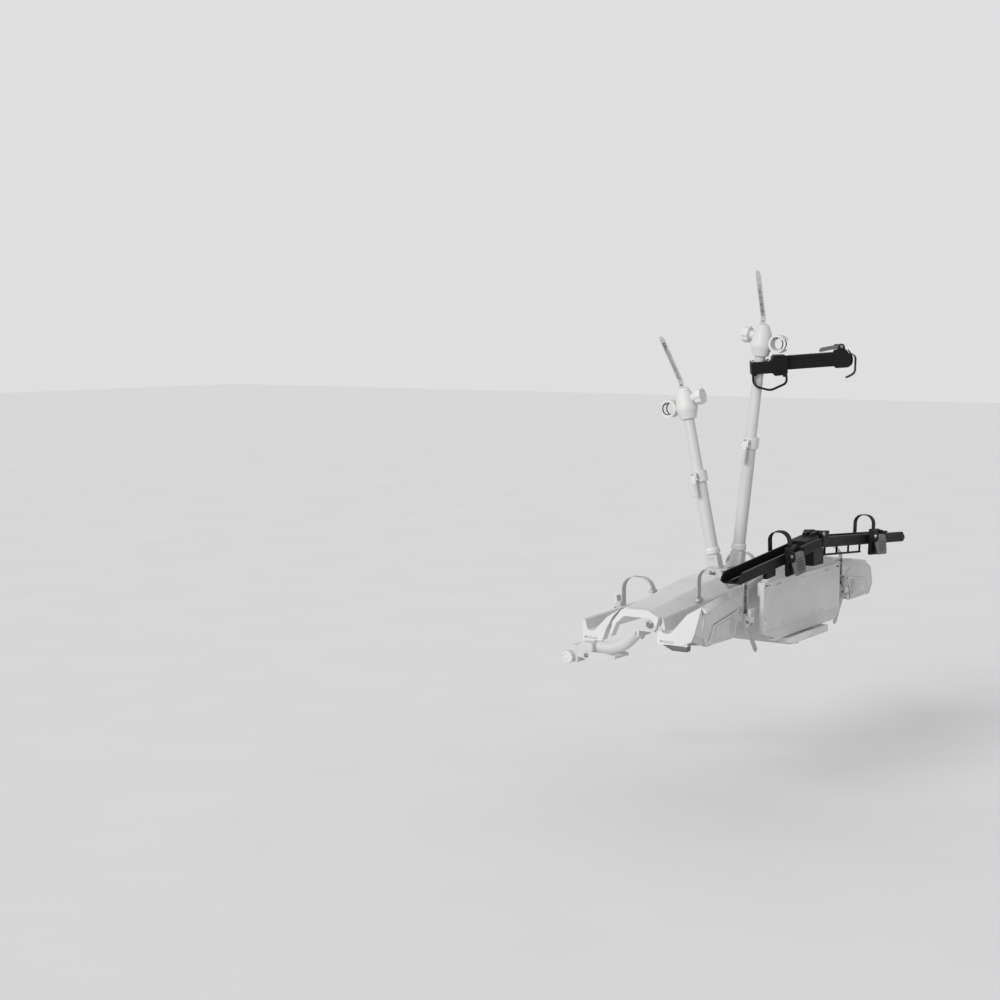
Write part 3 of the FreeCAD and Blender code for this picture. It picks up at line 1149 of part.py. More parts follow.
    twist = node("mast_%s_knob" % name)
    if toward > 0:
        rod(twist, "Additive", (0, "-dims.grip_out - dims.slip - dims.grip_thick", grip_z), "y",
            "dims.grip_dia / 2", "dims.grip_thick")
        rod(twist, "Additive", (0, "-dims.grip_out - 2", grip_z), "y", 6, "dims.grip_out - 10")
    else:
        rod(twist, "Additive", (0, "dims.grip_out + dims.slip", grip_z), "y", "dims.grip_dia / 2",
            "dims.grip_thick")
        rod(twist, "Additive", (0, 12, grip_z), "y", 6, "dims.grip_out - 10")
    stand(twist, name)

    tail = node("mast_%s_strap" % name)
    tail_made = sketch(tail, "XZ_Plane", "-dims.tail_wide / 2")
    outline(tail_made, strip([
        (-10.2, head + " + 40.3"), (-10.2, head + " + 80", 30),
        ("-10.2 - dims.tail_long / 2", head + " + 70 + dims.tail_long"),
    ], "dims.tail_thick", -1))
    pad(tail, tail_made, "dims.tail_wide")
    stand(tail, name)

# The third rail: the right half is fixed and the left half folds up.
HALVES = {
    "left": {"side": -1, "slope": "left_droop"},
    "right": {"side": 1, "slope": "right_droop"},
}
rail_z = "dims.rail_top"


def lay(body, half):
    """Slope a body that was built level along +X or -X from the rail joint."""
    rail = HALVES[half]
    body.Placement = Placement(Vector(), Rotation(Vector(0, rail["side"], 0), size(rail["slope"])))
    body.setExpression("Placement.Base.x", "-dims.rail_x")
    body.setExpression("Placement.Base.y", "-dims.rail_y")
    body.setExpression("Placement.Base.z", "dims.rail_top")
    body.setExpression("Placement.Rotation.Angle", "dims.%s" % rail["slope"])


for name, rail in HALVES.items():
    side = rail["side"]
    half = node("rail_" + name)
    pin_x = "%d * dims.rail_pin_up * sin(dims.%s)" % (-side, rail["slope"])
    pin_z = "dims.rail_pin_up * cos(dims.%s)" % rail["slope"]
    wide = "dims.rail_wide / 2"
    inside = "dims.rail_wide / 2 - dims.rail_skin"
    low, high = span(side, "dims.joint_gap", "dims.rail_%s_long" % name)
    side_outline(half, [
        ("-" + wide, "-dims.rail_tall", 5), (wide, "-dims.rail_tall", 5), (wide, "0"), (inside, "0"),
        (inside, "-dims.rail_tall + dims.rail_skin"), ("6", "-dims.rail_tall + dims.rail_skin"),
        ("3", "-dims.rail_tall + dims.rail_skin + dims.rail_rib"),
        ("-3", "-dims.rail_tall + dims.rail_skin + dims.rail_rib"),
        ("-6", "-dims.rail_tall + dims.rail_skin"), ("-(%s)" % inside, "-dims.rail_tall + dims.rail_skin"),
        ("-(%s)" % inside, "0"), ("-" + wide, "0"),
    ], low, high)
    nose = sketch(half, "XZ_Plane", "-%s - 1" % wide)
    end = "%d * dims.rail_%s_long" % (side, name)
    outline(nose, [
        ("%s - %d * 1.5 * dims.rail_nose" % (end, side), "1"), (end, "-dims.rail_nose", "dims.rail_nose"),
        (end, "-dims.rail_tall + 0.8 * dims.rail_nose", "0.7 * dims.rail_nose"),
        ("%s - %d * dims.rail_nose" % (end, side), "-dims.rail_tall - 1"),
        ("%s + %d" % (end, side), "-dims.rail_tall - 1"), ("%s + %d" % (end, side), "1"),
    ])
    pocket(half, nose, "dims.rail_wide + 2", back=True)
    for count in (1, 2, 3):
        up = "-%d * dims.groove_pitch" % count
        for near, far in ((wide + " - dims.rail_groove", wide + " + 1"), ("-(%s) - 1" % wide, "-(%s) + dims.rail_groove" % wide)):
            block(half, "Subtractive", (low, near, up + " - dims.groove_tall"), (high, far, up))
    ears = ("dims.rail_wide / 2 - 13", "dims.rail_wide / 2") if side > 0 else (
        "dims.rail_wide / 2 - 26.5", "dims.rail_wide / 2 - 13.5")
    if side < 0:
        low, high = span(side, "dims.joint_gap + 20", "dims.web_far")
        block(half, "Additive", (low, "-(%s) - 1" % inside, "-dims.rail_tall + 2"), (high, inside + " + 1", 10))
        low, high = span(side, "dims.tab_at - dims.tab_long / 2", "dims.tab_at + dims.tab_long / 2")
        block(half, "Additive", (low, "-(%s) + 6" % wide, "-dims.rail_tall - dims.tab_drop"),
              (high, "-(%s) + 20" % wide, "-dims.rail_tall + 2"))
    else:
        rod(half, "Additive", ("dims.ladder_near", "-dims.ladder_y", "-dims.rail_tall - dims.ladder_drop"), "x",
            "dims.ladder_bar / 2", "dims.ladder_far - dims.ladder_near")
        for share in (0.02, 0.34, 0.66, 0.98):
            rod(half, "Additive", ("dims.ladder_near + %.2f * (dims.ladder_far - dims.ladder_near)" % share,
                                   "-dims.ladder_y", "-dims.rail_tall - dims.ladder_drop"), "z",
                "dims.ladder_bar / 2", "dims.ladder_drop + 2")
    for near, far in (ears, tuple("-(%s)" % item for item in ears[::-1])):
        low, high = span(side, "dims.joint_gap", "dims.joint_gap + 44")
        floor = "-dims.rail_tall + 2" if side > 0 else "-8"
        block(half, "Additive", (low, near, floor), (high, far, "dims.rail_pin_up + dims.rail_ear / 2 - 1"))
        rod(half, "Additive", (pin_x, near, pin_z), "y", "dims.rail_ear / 2", "(%s) - (%s)" % (far, near))
    rod(half, "Subtractive", (pin_x, "-dims.rail_wide", pin_z), "y",
        "dims.rail_pin / 2 + dims.fit", "2 * dims.rail_wide")
    lay(half, name)
rail_pin = node("rail_pin")
rod(rail_pin, "Additive", ("-dims.rail_x", "-dims.rail_y - dims.rail_wide / 2", "dims.rail_top + dims.rail_pin_up"),
    "y", "dims.rail_pin / 2", "dims.rail_wide")

rail_bracket = node("rail_bracket")
rail_floor = "dims.rail_top - dims.rail_tall - dims.slip"
floor_left = rail_floor + " - dims.saddle_near * tan(dims.left_droop) - 0.8"
floor_right = rail_floor + " - dims.saddle_far * tan(dims.right_droop) - 0.8"
saddle = sketch(rail_bracket, "XZ_Plane", "dims.rail_y - dims.rail_wide / 2 + 4")
outline(saddle, [
    ("-dims.rail_x - dims.saddle_near", "dims.post_top"),
    ("-dims.rail_x + dims.saddle_far", "dims.post_top"),
    ("-dims.rail_x + dims.saddle_far", floor_right),
    ("-dims.rail_x", rail_floor),
    ("-dims.rail_x - dims.saddle_near", floor_left),
])
pad(rail_bracket, saddle, "dims.rail_wide - 8")
block(rail_bracket, "Additive", ("-dims.post_wide / 2 + 2", "-dims.rail_y + dims.rail_wide / 2 - 20", "dims.post_top"),
      ("dims.post_wide / 2 - 2", "-dims.post_front - 2", "dims.post_top + dims.bracket_plate"))

unit_low = "-dims.rail_tall - dims.unit_drop"
for name, rail in HALVES.items():
    side = rail["side"]
    middle = "%d * dims.%s_unit" % (side, name)
    loop = node("rail_strap_" + name)
    edge = "dims.rail_wide / 2 + dims.slip"
    band(loop, middle, [
        (edge, "-dims.rail_tall + 8"), (edge, "dims.loop_top", "dims.loop_bow"),
        ("-(%s)" % edge, "dims.loop_top", "dims.loop_bow"), ("-(%s)" % edge, "-dims.rail_tall + 8"),
    ], "dims.strap_wide", "dims.strap_thick")
    low = "%s - dims.rail_buckle / 2" % middle
    side_outline(loop, [
        ("-(%s)" % edge, unit_low, 5), ("-(%s) - 14" % edge, unit_low, 5),
        ("-(%s) - 14" % edge, "18", 8), ("-(%s)" % edge, "18"),
    ], low, "%s + dims.rail_buckle" % low)
    for start in (low, "%s + dims.rail_buckle - dims.ear" % low):
        side_outline(loop, [
            ("-(%s) - 10" % edge, "-20"), ("-(%s) - 34" % edge, "-20", 8), ("-(%s) - 34" % edge, "8", 8),
            ("-(%s) - 10" % edge, "14"),
        ], start, start + " + dims.ear")
    pin_y = "-(%s) - 25" % edge
    rod(loop, "Additive", (low, pin_y, -6), "x", "dims.lever_pin / 2", "dims.rail_buckle")
    lay(loop, name)
    handle = node("rail_lever_" + name)
    side_outline(handle, [
        ("-(%s) - 17" % edge, "1", 5), ("-(%s) - 34" % edge, "1", 6), ("-(%s) - 42" % edge, "-66", 4),
        ("-(%s) - 34" % edge, "-68", 3), ("-(%s) - 17" % edge, "-14", 6),
    ], low + " + dims.ear + dims.slip", low + " + dims.rail_buckle - dims.ear - dims.slip")
    rod(handle, "Subtractive", (low, pin_y, -6), "x", "dims.lever_pin / 2 + dims.fit", "dims.rail_buckle")
    lay(handle, name)

# The frame arm that holds the third bike, clamped to the second mast.
arm_spin = Rotation(Z_AXIS, -size("arm_turn")) * Rotation(Y_AXIS, -size("arm_rise"))
arm_base = Rotation(X_AXIS, size("two_lean"))


def aim(body):
    """Turn a body built along +X so that it leaves the second mast at its angle."""
    body.Placement = Placement(Vector(), arm_base * arm_spin)
    body.setExpression("Placement.Base.x", "dims.mast_x")
    body.setExpression("Placement.Base.y", "dims.arm_y")
    body.setExpression("Placement.Base.z", "dims.arm_z")


clamp = node("arm_clamp")
block(clamp, "Additive", (-30, -30, -30), (42, 30, 10))
grip = sketch(clamp, "XZ_Plane", -33)
outline(grip, [
    (41, -40, 12), ("dims.arm_near + 14", -38, 8), ("dims.arm_near + 14", 25.5, 6), (41, 28, 12),
])
pad(clamp, grip, 66)
tube_room = clamp.newObject("PartDesign::SubtractiveCylinder", "tube_room")
tube_room.Placement = Placement(Rotation(Y_AXIS, size("arm_rise")).multVec(Vector(0, 0, -80)),
                                Rotation(Y_AXIS, size("arm_rise")))
tube_room.setExpression("Radius", "dims.inner_dia / 2 + dims.slip")
tube_room.setExpression("Height", "160")
block(clamp, "Subtractive", ("dims.arm_near - 28", "-dims.arm_bar_wide / 2 - dims.slip", "-dims.arm_bar_tall / 2 - dims.slip"),
      ("dims.arm_near + 20", "dims.arm_bar_wide / 2 + dims.slip", "dims.arm_bar_tall / 2 + dims.slip"))
aim(clamp)
bar = node("arm_bar")
block(bar, "Additive", ("dims.arm_near - 26", "-dims.arm_bar_wide / 2", "-dims.arm_bar_tall / 2"),
      ("dims.arm_long", "dims.arm_bar_wide / 2", "dims.arm_bar_tall / 2"))
across = sketch(bar, "XZ_Plane", "-dims.arm_bar_wide / 2")
outline(across, [
    ("dims.arm_long - 20", "-30", 6), ("dims.arm_long + 30", "-30", 12), ("dims.arm_long + 38", "0", 10),
    ("dims.arm_long + 20", "32", 12), ("dims.arm_long - 20", "30", 6),
])
pad(bar, across, "dims.arm_bar_wide")
hook = sketch(bar, "XZ_Plane", "-dims.lever_wide / 2")
outline(hook, strip([
    ("dims.arm_long + 10", 12), ("dims.arm_long + dims.hook_out", 16, 18),
    ("dims.arm_long + dims.hook_out - 6", "-dims.hook_drop + 10", 22),
    ("dims.arm_long + 16", "-dims.hook_drop - 4"),
], "dims.strap_thick", 1))
pad(bar, hook, "dims.lever_wide")
for start in ("-dims.lever_wide / 2 - dims.slip - dims.ear", "dims.lever_wide / 2 + dims.slip"):
    ear = sketch(bar, "XZ_Plane", start)
    outline(ear, [
        ("dims.lever_at - 14", 28), ("dims.lever_at + 12", 28), ("dims.lever_at + 9", "dims.lever_up + 8", 7),
        ("dims.lever_at - 9", "dims.lever_up + 8", 7),
    ])
    pad(bar, ear, "dims.ear")
rod(bar, "Additive", ("dims.lever_at", "-dims.lever_wide / 2 - 2", "dims.lever_up"), "y", "dims.lever_pin / 2",
    "dims.lever_wide + 4")
aim(bar)
arm_lever = node("arm_lever")
lever_made = sketch(arm_lever, "XZ_Plane", "-dims.lever_wide / 2")
outline(lever_made, [
    ("dims.lever_at + 8", "dims.lever_up - 7", 5), ("dims.lever_at + 8", "dims.lever_up + 9", 7),
    ("dims.lever_at - dims.lever_long", "dims.lever_up - 2", 8), ("dims.lever_at - dims.lever_long - 4", "dims.lever_up - 14", 3),
    ("dims.lever_at - 30", "dims.lever_up - 8", 10),
])
pad(arm_lever, lever_made, "dims.lever_wide")
rod(arm_lever, "Subtractive", ("dims.lever_at", "-dims.lever_wide / 2 - 1", "dims.lever_up"), "y",
    "dims.lever_pin / 2 + dims.fit", "dims.lever_wide + 2")
aim(arm_lever)

doc.recompute()
os.makedirs("parts", exist_ok=True)
for thing in doc.Objects:
    if "Invalid" in thing.State or "Error" in thing.State:
        raise RuntimeError("%s did not compute" % thing.Name)
for body in nodes:
    shape = body.Shape
    if shape.isNull() or not shape.isValid():
        raise RuntimeError("%s has no sound shape" % body.Label)
    shape.exportStep("parts/%s.step" % body.Label)
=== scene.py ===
import json
import math

import bmesh
import bpy
from bpy.props import FloatProperty, FloatVectorProperty, PointerProperty
from mathutils import Matrix, Vector


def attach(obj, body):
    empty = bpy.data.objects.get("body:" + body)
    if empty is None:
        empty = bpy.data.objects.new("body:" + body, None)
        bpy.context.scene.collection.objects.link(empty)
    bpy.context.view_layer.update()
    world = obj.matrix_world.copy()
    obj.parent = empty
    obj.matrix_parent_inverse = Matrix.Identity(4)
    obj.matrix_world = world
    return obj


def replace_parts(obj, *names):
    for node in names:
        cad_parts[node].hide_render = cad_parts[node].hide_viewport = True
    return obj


bl_info = {
    "name": "Hitch Bike Rack",
    "version": (1, 0, 0),
    "blender": (4, 5, 0),
    "location": "View3D > Sidebar > Bike Rack",
    "description": "Dresses a tow ball bike rack with its mouldings, straps and finishes",
    "category": "Object",
}

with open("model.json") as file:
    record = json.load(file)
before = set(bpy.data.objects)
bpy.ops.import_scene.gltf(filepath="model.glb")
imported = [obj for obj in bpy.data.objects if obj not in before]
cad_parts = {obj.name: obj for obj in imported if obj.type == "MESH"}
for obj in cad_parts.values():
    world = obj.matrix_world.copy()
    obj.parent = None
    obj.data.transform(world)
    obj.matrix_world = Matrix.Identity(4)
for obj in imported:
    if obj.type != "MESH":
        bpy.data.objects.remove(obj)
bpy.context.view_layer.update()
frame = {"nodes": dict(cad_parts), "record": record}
NODES = frame["nodes"]
SIDES = (("left", -1), ("right", 1))

# All the sizes of the object are in millimetres and all its angles in degrees.
# Each mast: its side and lean, the heights of its lower tube's end and of its claw over its
# pin, and the way of the claw.
MASTS = {"one": (-1, -12.2, 335, 568, 1), "two": (1, 6.1, 440, 771, -1)}
# Each half of the third rail: its side, droop and length, the x of its first rib and of its
# strap, and the body that it rides on.
RAILS = {"left": (-1, 4.8, 600, 160, 255, "rail_left"), "right": (1, 4.3, 722, 62, 418, "platform")}
MAST_PIN = (75, -560, 345)
RAIL_PIN = (-48, -897, 486)
ARM_PIVOT = (75, -633.85, 1036)
ARM_TURNS = ((6.1, "X"), (-58.9, "Z"), (-9.5, "Y"))
# Each tray: its name, the front and rear ends of its tread ribs, and the height of its floor.
TRAYS = (("front", -401.5, -415.5, 215), ("rear", -668.5, -685.5, 231))
TREAD_STEP = 11.6
RAIL_TREAD_STEP = 13.4
# Each wheel strap: its tray, the y of its foot and of its hook, the heights of its foot and of
# its top, and the way from the hook to the outside.
WHEEL_STRAPS = (("front", -484, -376.7, 306.7, 352, 1), ("rear", -652, -811.3, 293.4, 402, -1))
STRAP_MIDDLE = 370
TOOTH_STEP = 4.2
# The lower end of the buckles, and the outline of their cheeks as (distance from the strap,
# height over that end).
BUCKLE_FOOT = 222
BUCKLE_CHEEK = ((9.5, 5), (17, 9), (24.4, 17), (24.4, 33), (19, 40), (9.5, 47))
# The outlines of the rear lights as (x, z), for the right one.
LENS_FACE = -817.6
LENS = ((455, 209), (624, 214), (601, 244), (593, 265), (424, 292))
LENS_PANEL = ((500, 222), (588, 223), (577, 246), (572, 258), (483, 273))
LIGHT_EDGE = ((442, 205.6), (632, 207), (655, 238.6), (638.6, 300), (601, 309.6), (478, 332), (417, 299.6))
LIGHT_PLATE = ((600, 204.6), (626.3, 204.8), (632.9, 208), (655, 235), (656.9, 243), (642.4, 297.8),
               (636, 304), (600, 312))
# The roof of a light from its outer end inwards: x, then the corners (y, z) there.
LIGHT_ROOF = (
    (628, (-796, 325.5), (-789, 300), (-813, 300), (-814, 308)),
    (480, (-804.8, 348), (-805.5, 300), (-811, 300), (-814, 334)),
    (392, (-807.4, 359), (-808, 296), (-811, 296), (-811.1, 332)),
    (345, (-808.8, 365), (-809, 296), (-811, 296), (-811, 345)),
)
# The cheek of a light: its line (y, z) on the end frame and its line (x, z) on the light.
CHEEK_NEAR = ((-796.5, 319), (-775, 236), (-765, 214), (-735, 200))
CHEEK_FAR = ((641.5, 303.5), (657, 239), (631.8, 205.4), (600, 204.6))
# The clips of the plate holder as (y, z).
UPPER_CLIP = ((-842, 349), (-842, 341), (-845.4, 341), (-845.4, 344), (-843.4, 344.6), (-843.4, 349))
LOWER_CLIP = ((-841.8, 206), (-841.8, 214), (-845.4, 214), (-845.4, 211), (-843.4, 210.4), (-843.6, 205))
# The axis of the adjuster knob as (y, z), and the height of the nuts and bolts on the chassis.
KNOB_CENTRE = (44, -15)
BOLT_HEIGHT = 306


class RackPaint(bpy.types.PropertyGroup):
    shell: FloatVectorProperty(
        name="Shell", description="Colour of the moulded shells", subtype="COLOR",
        size=3, min=0, max=1, default=(0.66, 0.655, 0.65))
    metal: FloatVectorProperty(
        name="Metal", description="Colour of the painted metal", subtype="COLOR",
        size=3, min=0, max=1, default=(0.6, 0.595, 0.59))
    strap: FloatVectorProperty(
        name="Strap", description="Colour of the wheel straps", subtype="COLOR",
        size=3, min=0, max=1, default=(0.5, 0.495, 0.49))
    rail: FloatVectorProperty(
        name="Rail", description="Colour of the third rail", subtype="COLOR",
        size=3, min=0, max=1, default=(0.006, 0.006, 0.0065))
    lever: FloatVectorProperty(
        name="Lever", description="Colour of the rail levers", subtype="COLOR",
        size=3, min=0, max=1, default=(0.125, 0.125, 0.127))
    grain: FloatProperty(
        name="Grain", description="Size of the mould grain", subtype="DISTANCE",
        unit="LENGTH", min=0.0001, max=0.01, default=0.0007)


class RackView(bpy.types.PropertyGroup):
    place: FloatVectorProperty(
        name="Place", description="Where the camera stands", subtype="TRANSLATION",
        unit="LENGTH", size=3, default=(-5.119, -3.147, 1.160))
    yaw: FloatProperty(
        name="Yaw", description="Direction of the camera over the ground", subtype="ANGLE",
        default=math.radians(34.49))
    pitch: FloatProperty(
        name="Pitch", description="Camera tilt", subtype="ANGLE", default=math.radians(-5.815))
    lens: FloatProperty(
        name="Lens", description="Focal length in millimetres", min=10, max=300, default=61.04)
    floor: FloatProperty(
        name="Floor", description="Height of the floor", subtype="DISTANCE", unit="LENGTH",
        default=-0.42)
    side_light: FloatProperty(
        name="Side Light", description="Strength of the lamp at the near end", min=0, max=10,
        default=1.85)
    soft_light: FloatProperty(
        name="Soft Light", description="Strength of the light from all round", min=0, max=5, default=0.6)


def clear_selection():
    """Nothing stays selected, so that the next operator works on its own piece only."""
    if bpy.context.object and bpy.context.object.mode != "OBJECT":
        bpy.ops.object.mode_set(mode="OBJECT")
    bpy.ops.object.select_all(action="DESELECT")


def pick(obj):
    """Select one object alone."""
    clear_selection()
    obj.select_set(True)
    bpy.context.view_layer.objects.active = obj


def settle(obj):
    """Put the object's place, turn and scale into its mesh."""
    pick(obj)
    bpy.ops.object.transform_apply(location=True, rotation=True, scale=True)


def take_all():
    """Select the whole mesh in edit mode."""
    bpy.ops.mesh.select_all(action="SELECT")


def enter():
    """Go to edit mode with the whole mesh selected."""
    bpy.ops.object.mode_set(mode="EDIT")
    take_all()


def leave():
    """Go back to object mode."""
    bpy.ops.object.mode_set(mode="OBJECT")


def extrude(shift):
    """Extrude what is selected along a vector."""
    bpy.ops.mesh.extrude_region_move(TRANSFORM_OT_translate={"value": shift})


def fill():
    """Close the drawn line with one face."""
    take_all()
    bpy.ops.mesh.edge_face_add()


def face_outwards():
    """Select the whole mesh and point its faces outwards."""
    take_all()
    bpy.ops.mesh.normals_make_consistent(inside=False)


def choose(obj, test, kind="FACE"):
    """In edit mode, select the faces, edges or vertices that pass the test."""
    mesh = bmesh.from_edit_mesh(obj.data)
    bpy.context.tool_settings.mesh_select_mode = (kind == "VERT", kind == "EDGE", kind == "FACE")
    for item in list(mesh.verts) + list(mesh.edges) + list(mesh.faces):
        item.select = False
    for item in {"VERT": mesh.verts, "EDGE": mesh.edges, "FACE": mesh.faces}[kind]:
        if test(item):
            item.select_set(True)
    mesh.select_flush_mode()
    bmesh.update_edit_mesh(obj.data)


def modify(obj, kind, **settings):
    """Add a modifier and apply it."""
    pick(obj)
    made = obj.modifiers.new(kind.title(), kind)
    for name, value in settings.items():
        setattr(made, name, value)
    bpy.ops.object.modifier_apply(modifier=made.name)


def smooth(obj, angle=35):
    """Shade the flat runs smooth and keep the edges."""
    pick(obj)
    bpy.ops.object.shade_smooth_by_angle(angle=math.radians(angle))


def recalculate(obj):
    """Merge doubles and point the faces outwards."""
    pick(obj)
    enter()
    bpy.ops.mesh.remove_doubles(threshold=0.00001)
    bpy.ops.mesh.normals_make_consistent(inside=False)
    leave()


def mm(x, y, z):
    """A point given in millimetres."""
    return Vector((x, y, z)) * 0.001


def at_x(x, outline):
    """The corners (y, z) of an outline that lies at one x."""
    return [mm(x, y, z) for y, z in outline]


def at_y(y, outline, side=1):
    """The corners (x, z) of an outline that lies at one y, mirrored for the left side."""
    return [mm(side * x, y, z) for x, z in outline]


def turn(angle, axis):
    """A turn by an angle in degrees."""
    return Matrix.Rotation(math.radians(angle), 4, axis)


def mast_frame(mast):
    """Where a mast's own upright frame stands at rest."""
    side, lean = MASTS[mast][:2]
    x, y, z = MAST_PIN
    return Matrix.Translation(mm(side * x, y, z)) @ turn(lean, "X")


def rail_frame(half):
    """Where the level frame of a rail half stands at rest."""
    side, droop = RAILS[half][:2]
    return Matrix.Translation(mm(*RAIL_PIN)) @ turn(side * droop, "Y")


def arm_frame():
    """Where the frame of the frame arm stands at rest, with the arm along X."""
    place = Matrix.Translation(mm(*ARM_PIVOT))
    for angle, axis in ARM_TURNS:
        place = place @ turn(angle, axis)
    return place


def upright(start, axis):
    """The place of something made along Z that starts at a point and runs along an axis."""
    return Matrix.Translation(start) @ Vector(axis).to_track_quat("Z", "Y").to_matrix().to_4x4()


def block(name, low, high, edge=1.0, steps=2):
    """A block between two opposite corners, with rounded edges."""
    clear_selection()
    middle = [(first + last) / 2000 for first, last in zip(low, high)]
    bpy.ops.mesh.primitive_cube_add(size=1, location=middle)
    made = bpy.context.object
    made.name = name
    made.scale = [abs(last - first) / 1000 for first, last in zip(low, high)]
    settle(made)
    enter()
    bpy.ops.mesh.bevel(offset=edge / 1000, segments=steps)
    leave()
    return made


def drawn(name, points):
    """A mesh in edit mode that is a line from point to point."""
    clear_selection()
    bpy.context.tool_settings.mesh_select_mode = (True, False, False)
    bpy.ops.mesh.primitive_plane_add(size=0.001, location=(0, 0, 0))
    made = bpy.context.object
    made.name = name
    enter()
    bpy.ops.mesh.merge(type="CENTER")
    bpy.ops.transform.translate(value=points[0])
    for before, after in zip(points, points[1:]):
        extrude(after - before)
    return made


def plate(name, points, raised, edge, steps=2, ring=0.0):
    """An outline that is filled, or left as a ring of a given width, and raised along a vector."""
    made = drawn(name, points)
    fill()
    if ring:
        bpy.ops.mesh.inset(thickness=ring / 1000)
        bpy.ops.mesh.delete(type="FACE")
        take_all()
    extrude(raised)
    face_outwards()
    bpy.ops.mesh.bevel(offset=edge / 1000, segments=steps)
    leave()
    return made


def framed(name, points, width, raised, edge):
    """A flat ring inside an outline, raised along a vector."""
    return plate(name, points, raised, edge, 1, width)


def turned(name, profile, sides=32, sweep=360.0):
    """A profile of (radius, height), spun about Z."""
    made = drawn(name, [mm(radius, 0, height) for radius, height in profile])
    take_all()
    if sweep < 360:
        bpy.ops.mesh.edge_face_add()
        bpy.ops.transform.rotate(value=math.radians(sweep / 2), orient_axis="Z", center_override=(0, 0, 0))
    bpy.ops.mesh.spin(steps=sides, angle=math.radians(sweep), center=(0, 0, 0), axis=(0, 0, 1))
    leave()
    recalculate(made)
    return made


def scalloped(name, radius, thick, lobes, depth, rim):
    """A hand knob along Z with finger scallops and a dished face."""
    steps, soft, dish, hub = 8, 0.3 * rim, 1.6, 0.3
    made = turned(name, [
        (0, 0), (radius - rim, 0), (radius - soft, soft), (radius, rim), (radius, thick - rim),
        (radius - soft, thick - soft), (radius - rim, thick), (0.7 * radius, thick),
        (0.66 * radius, thick - dish), (0.32 * radius, thick - dish), (0.27 * radius, thick - hub),
        (0, thick - hub)], lobes * steps)
    enter()
    for share, part in ((depth, (3, 4, 5)), (depth / 2, (2, 6))):
        scale = 1 - share / radius
        choose(made, lambda vertex: vertex.co.xy.length > 0.0009 * (radius - rim) and round(
            math.atan2(vertex.co.y, vertex.co.x) / math.tau * lobes * steps) % steps in part, "VERT")
        bpy.ops.transform.resize(value=(scale, scale, 1), center_override=(0, 0, 0))
    leave()
    return made


def lofted(name, first, last, edge=0.5):
    """A solid between two outlines that have the same number of corners."""
    made = drawn(name, first)
    fill()
    shift = last[0] - first[0]
    extrude(shift)
    for near, far in zip(first, last):
        spot = near + shift
        choose(made, lambda vertex: (vertex.co - spot).length < 0.00001, "VERT")
        bpy.ops.transform.translate(value=far - spot)
    face_outwards()
    bpy.ops.mesh.bevel(offset=edge / 1000, segments=2)
    leave()
    return made


def cylinder(radius, tall, sides):
    """A cylinder on the ground plane, in edit mode."""
    clear_selection()
    bpy.ops.mesh.primitive_cylinder_add(
        vertices=sides, radius=radius / 1000, depth=tall / 1000, location=(0, 0, tall / 2000))
    made = bpy.context.object
    settle(made)
    enter()
    return made


def stand(obj, start, axis):
    """Leave edit mode and stand a shape that was made along Z on a point, along an axis."""
    leave()
    obj.matrix_world = upright(start, axis)
    settle(obj)
    return obj


def bolt(start, axis, radius, tall, sides=24):
    """A socket head screw that stands on a face."""
    rounding, wall, depth = radius * 0.12, radius * 0.42, tall * 0.6
    made = cylinder(radius, tall, sides)
    choose(made, lambda face: face.normal.z > 0.9)
    bpy.ops.mesh.bevel(offset=rounding / 1000, segments=2)
    choose(made, lambda face: face.normal.z > 0.9 and len(face.verts) > 8)
    bpy.ops.mesh.inset(thickness=wall / 1000)
    extrude(mm(0, 0, -depth))
    return stand(made, start, axis)


def nut(start, axis, radius, tall):
    """A hexagon nut with chamfered corners and the end of its bolt."""
    chamfer, wall, thread_end = 0.6, radius * 0.3, tall * 0.3
    made = cylinder(radius, tall, 6)
    bpy.ops.mesh.bevel(offset=chamfer / 1000, segments=2)
    choose(made, lambda face: face.normal.z > 0.9 and len(face.verts) == 6)
    bpy.ops.mesh.inset(thickness=wall / 1000)
    extrude(mm(0, 0, thread_end))
    return stand(made, start, axis)


def joined(name, parts):
    """Several meshes as one piece."""
    clear_selection()
    for part in parts:
        part.select_set(True)
    bpy.context.view_layer.objects.active = parts[0]
    if len(parts) > 1:
        bpy.ops.object.join()
    parts[0].name = name
    return parts[0]


def repeated(obj, places):
    """One copy of a finished shape at each place, as one mesh."""
    copies = []
    for place in places[1:]:
        made = obj.copy()
        made.data = obj.data.copy()
        bpy.context.scene.collection.objects.link(made)
        made.matrix_world = place @ obj.matrix_world
        copies.append(made)
    obj.matrix_world = places[0] @ obj.matrix_world
    return joined(obj.name, [obj] + copies)


def fit(obj, body, finish, frame_at=None, angle=35):
    """Put a piece in its place, give it its finish and let it ride on a body."""
    if frame_at is not None:
        obj.matrix_world = frame_at @ obj.matrix_world
    settle(obj)
    smooth(obj, angle)
    obj.data.materials.clear()
    obj.data.materials.append(MATERIALS[finish])
    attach(obj, body)
    return obj


def steel(name, body, heads, frame_at=None):
    """Fit screws or nuts as one piece of bare steel."""
    fit(joined(name, heads), body, "steel", frame_at)


def rounded(path, pieces=7):
    """The points of a path whose corners (x, y, z, radius) are rounded, in millimetres."""
    points = []
    for index, corner in enumerate(path):
        here = Vector(corner[:3])
        if len(corner) < 4:
            points.append(here)
            continue
        into = (Vector(path[index - 1][:3]) - here).normalized()
        out = (Vector(path[index + 1][:3]) - here).normalized()
        half = into.angle(out) / 2
        middle = here + (into + out).normalized() * (corner[3] / math.sin(half))
        first = here + into * (corner[3] / math.tan(half)) - middle
        last = here + out * (corner[3] / math.tan(half)) - middle
        for step in range(pieces + 1):
            points.append(middle + first.slerp(last, step / pieces) * corner[3])
    return [point * 0.001 for point in points]


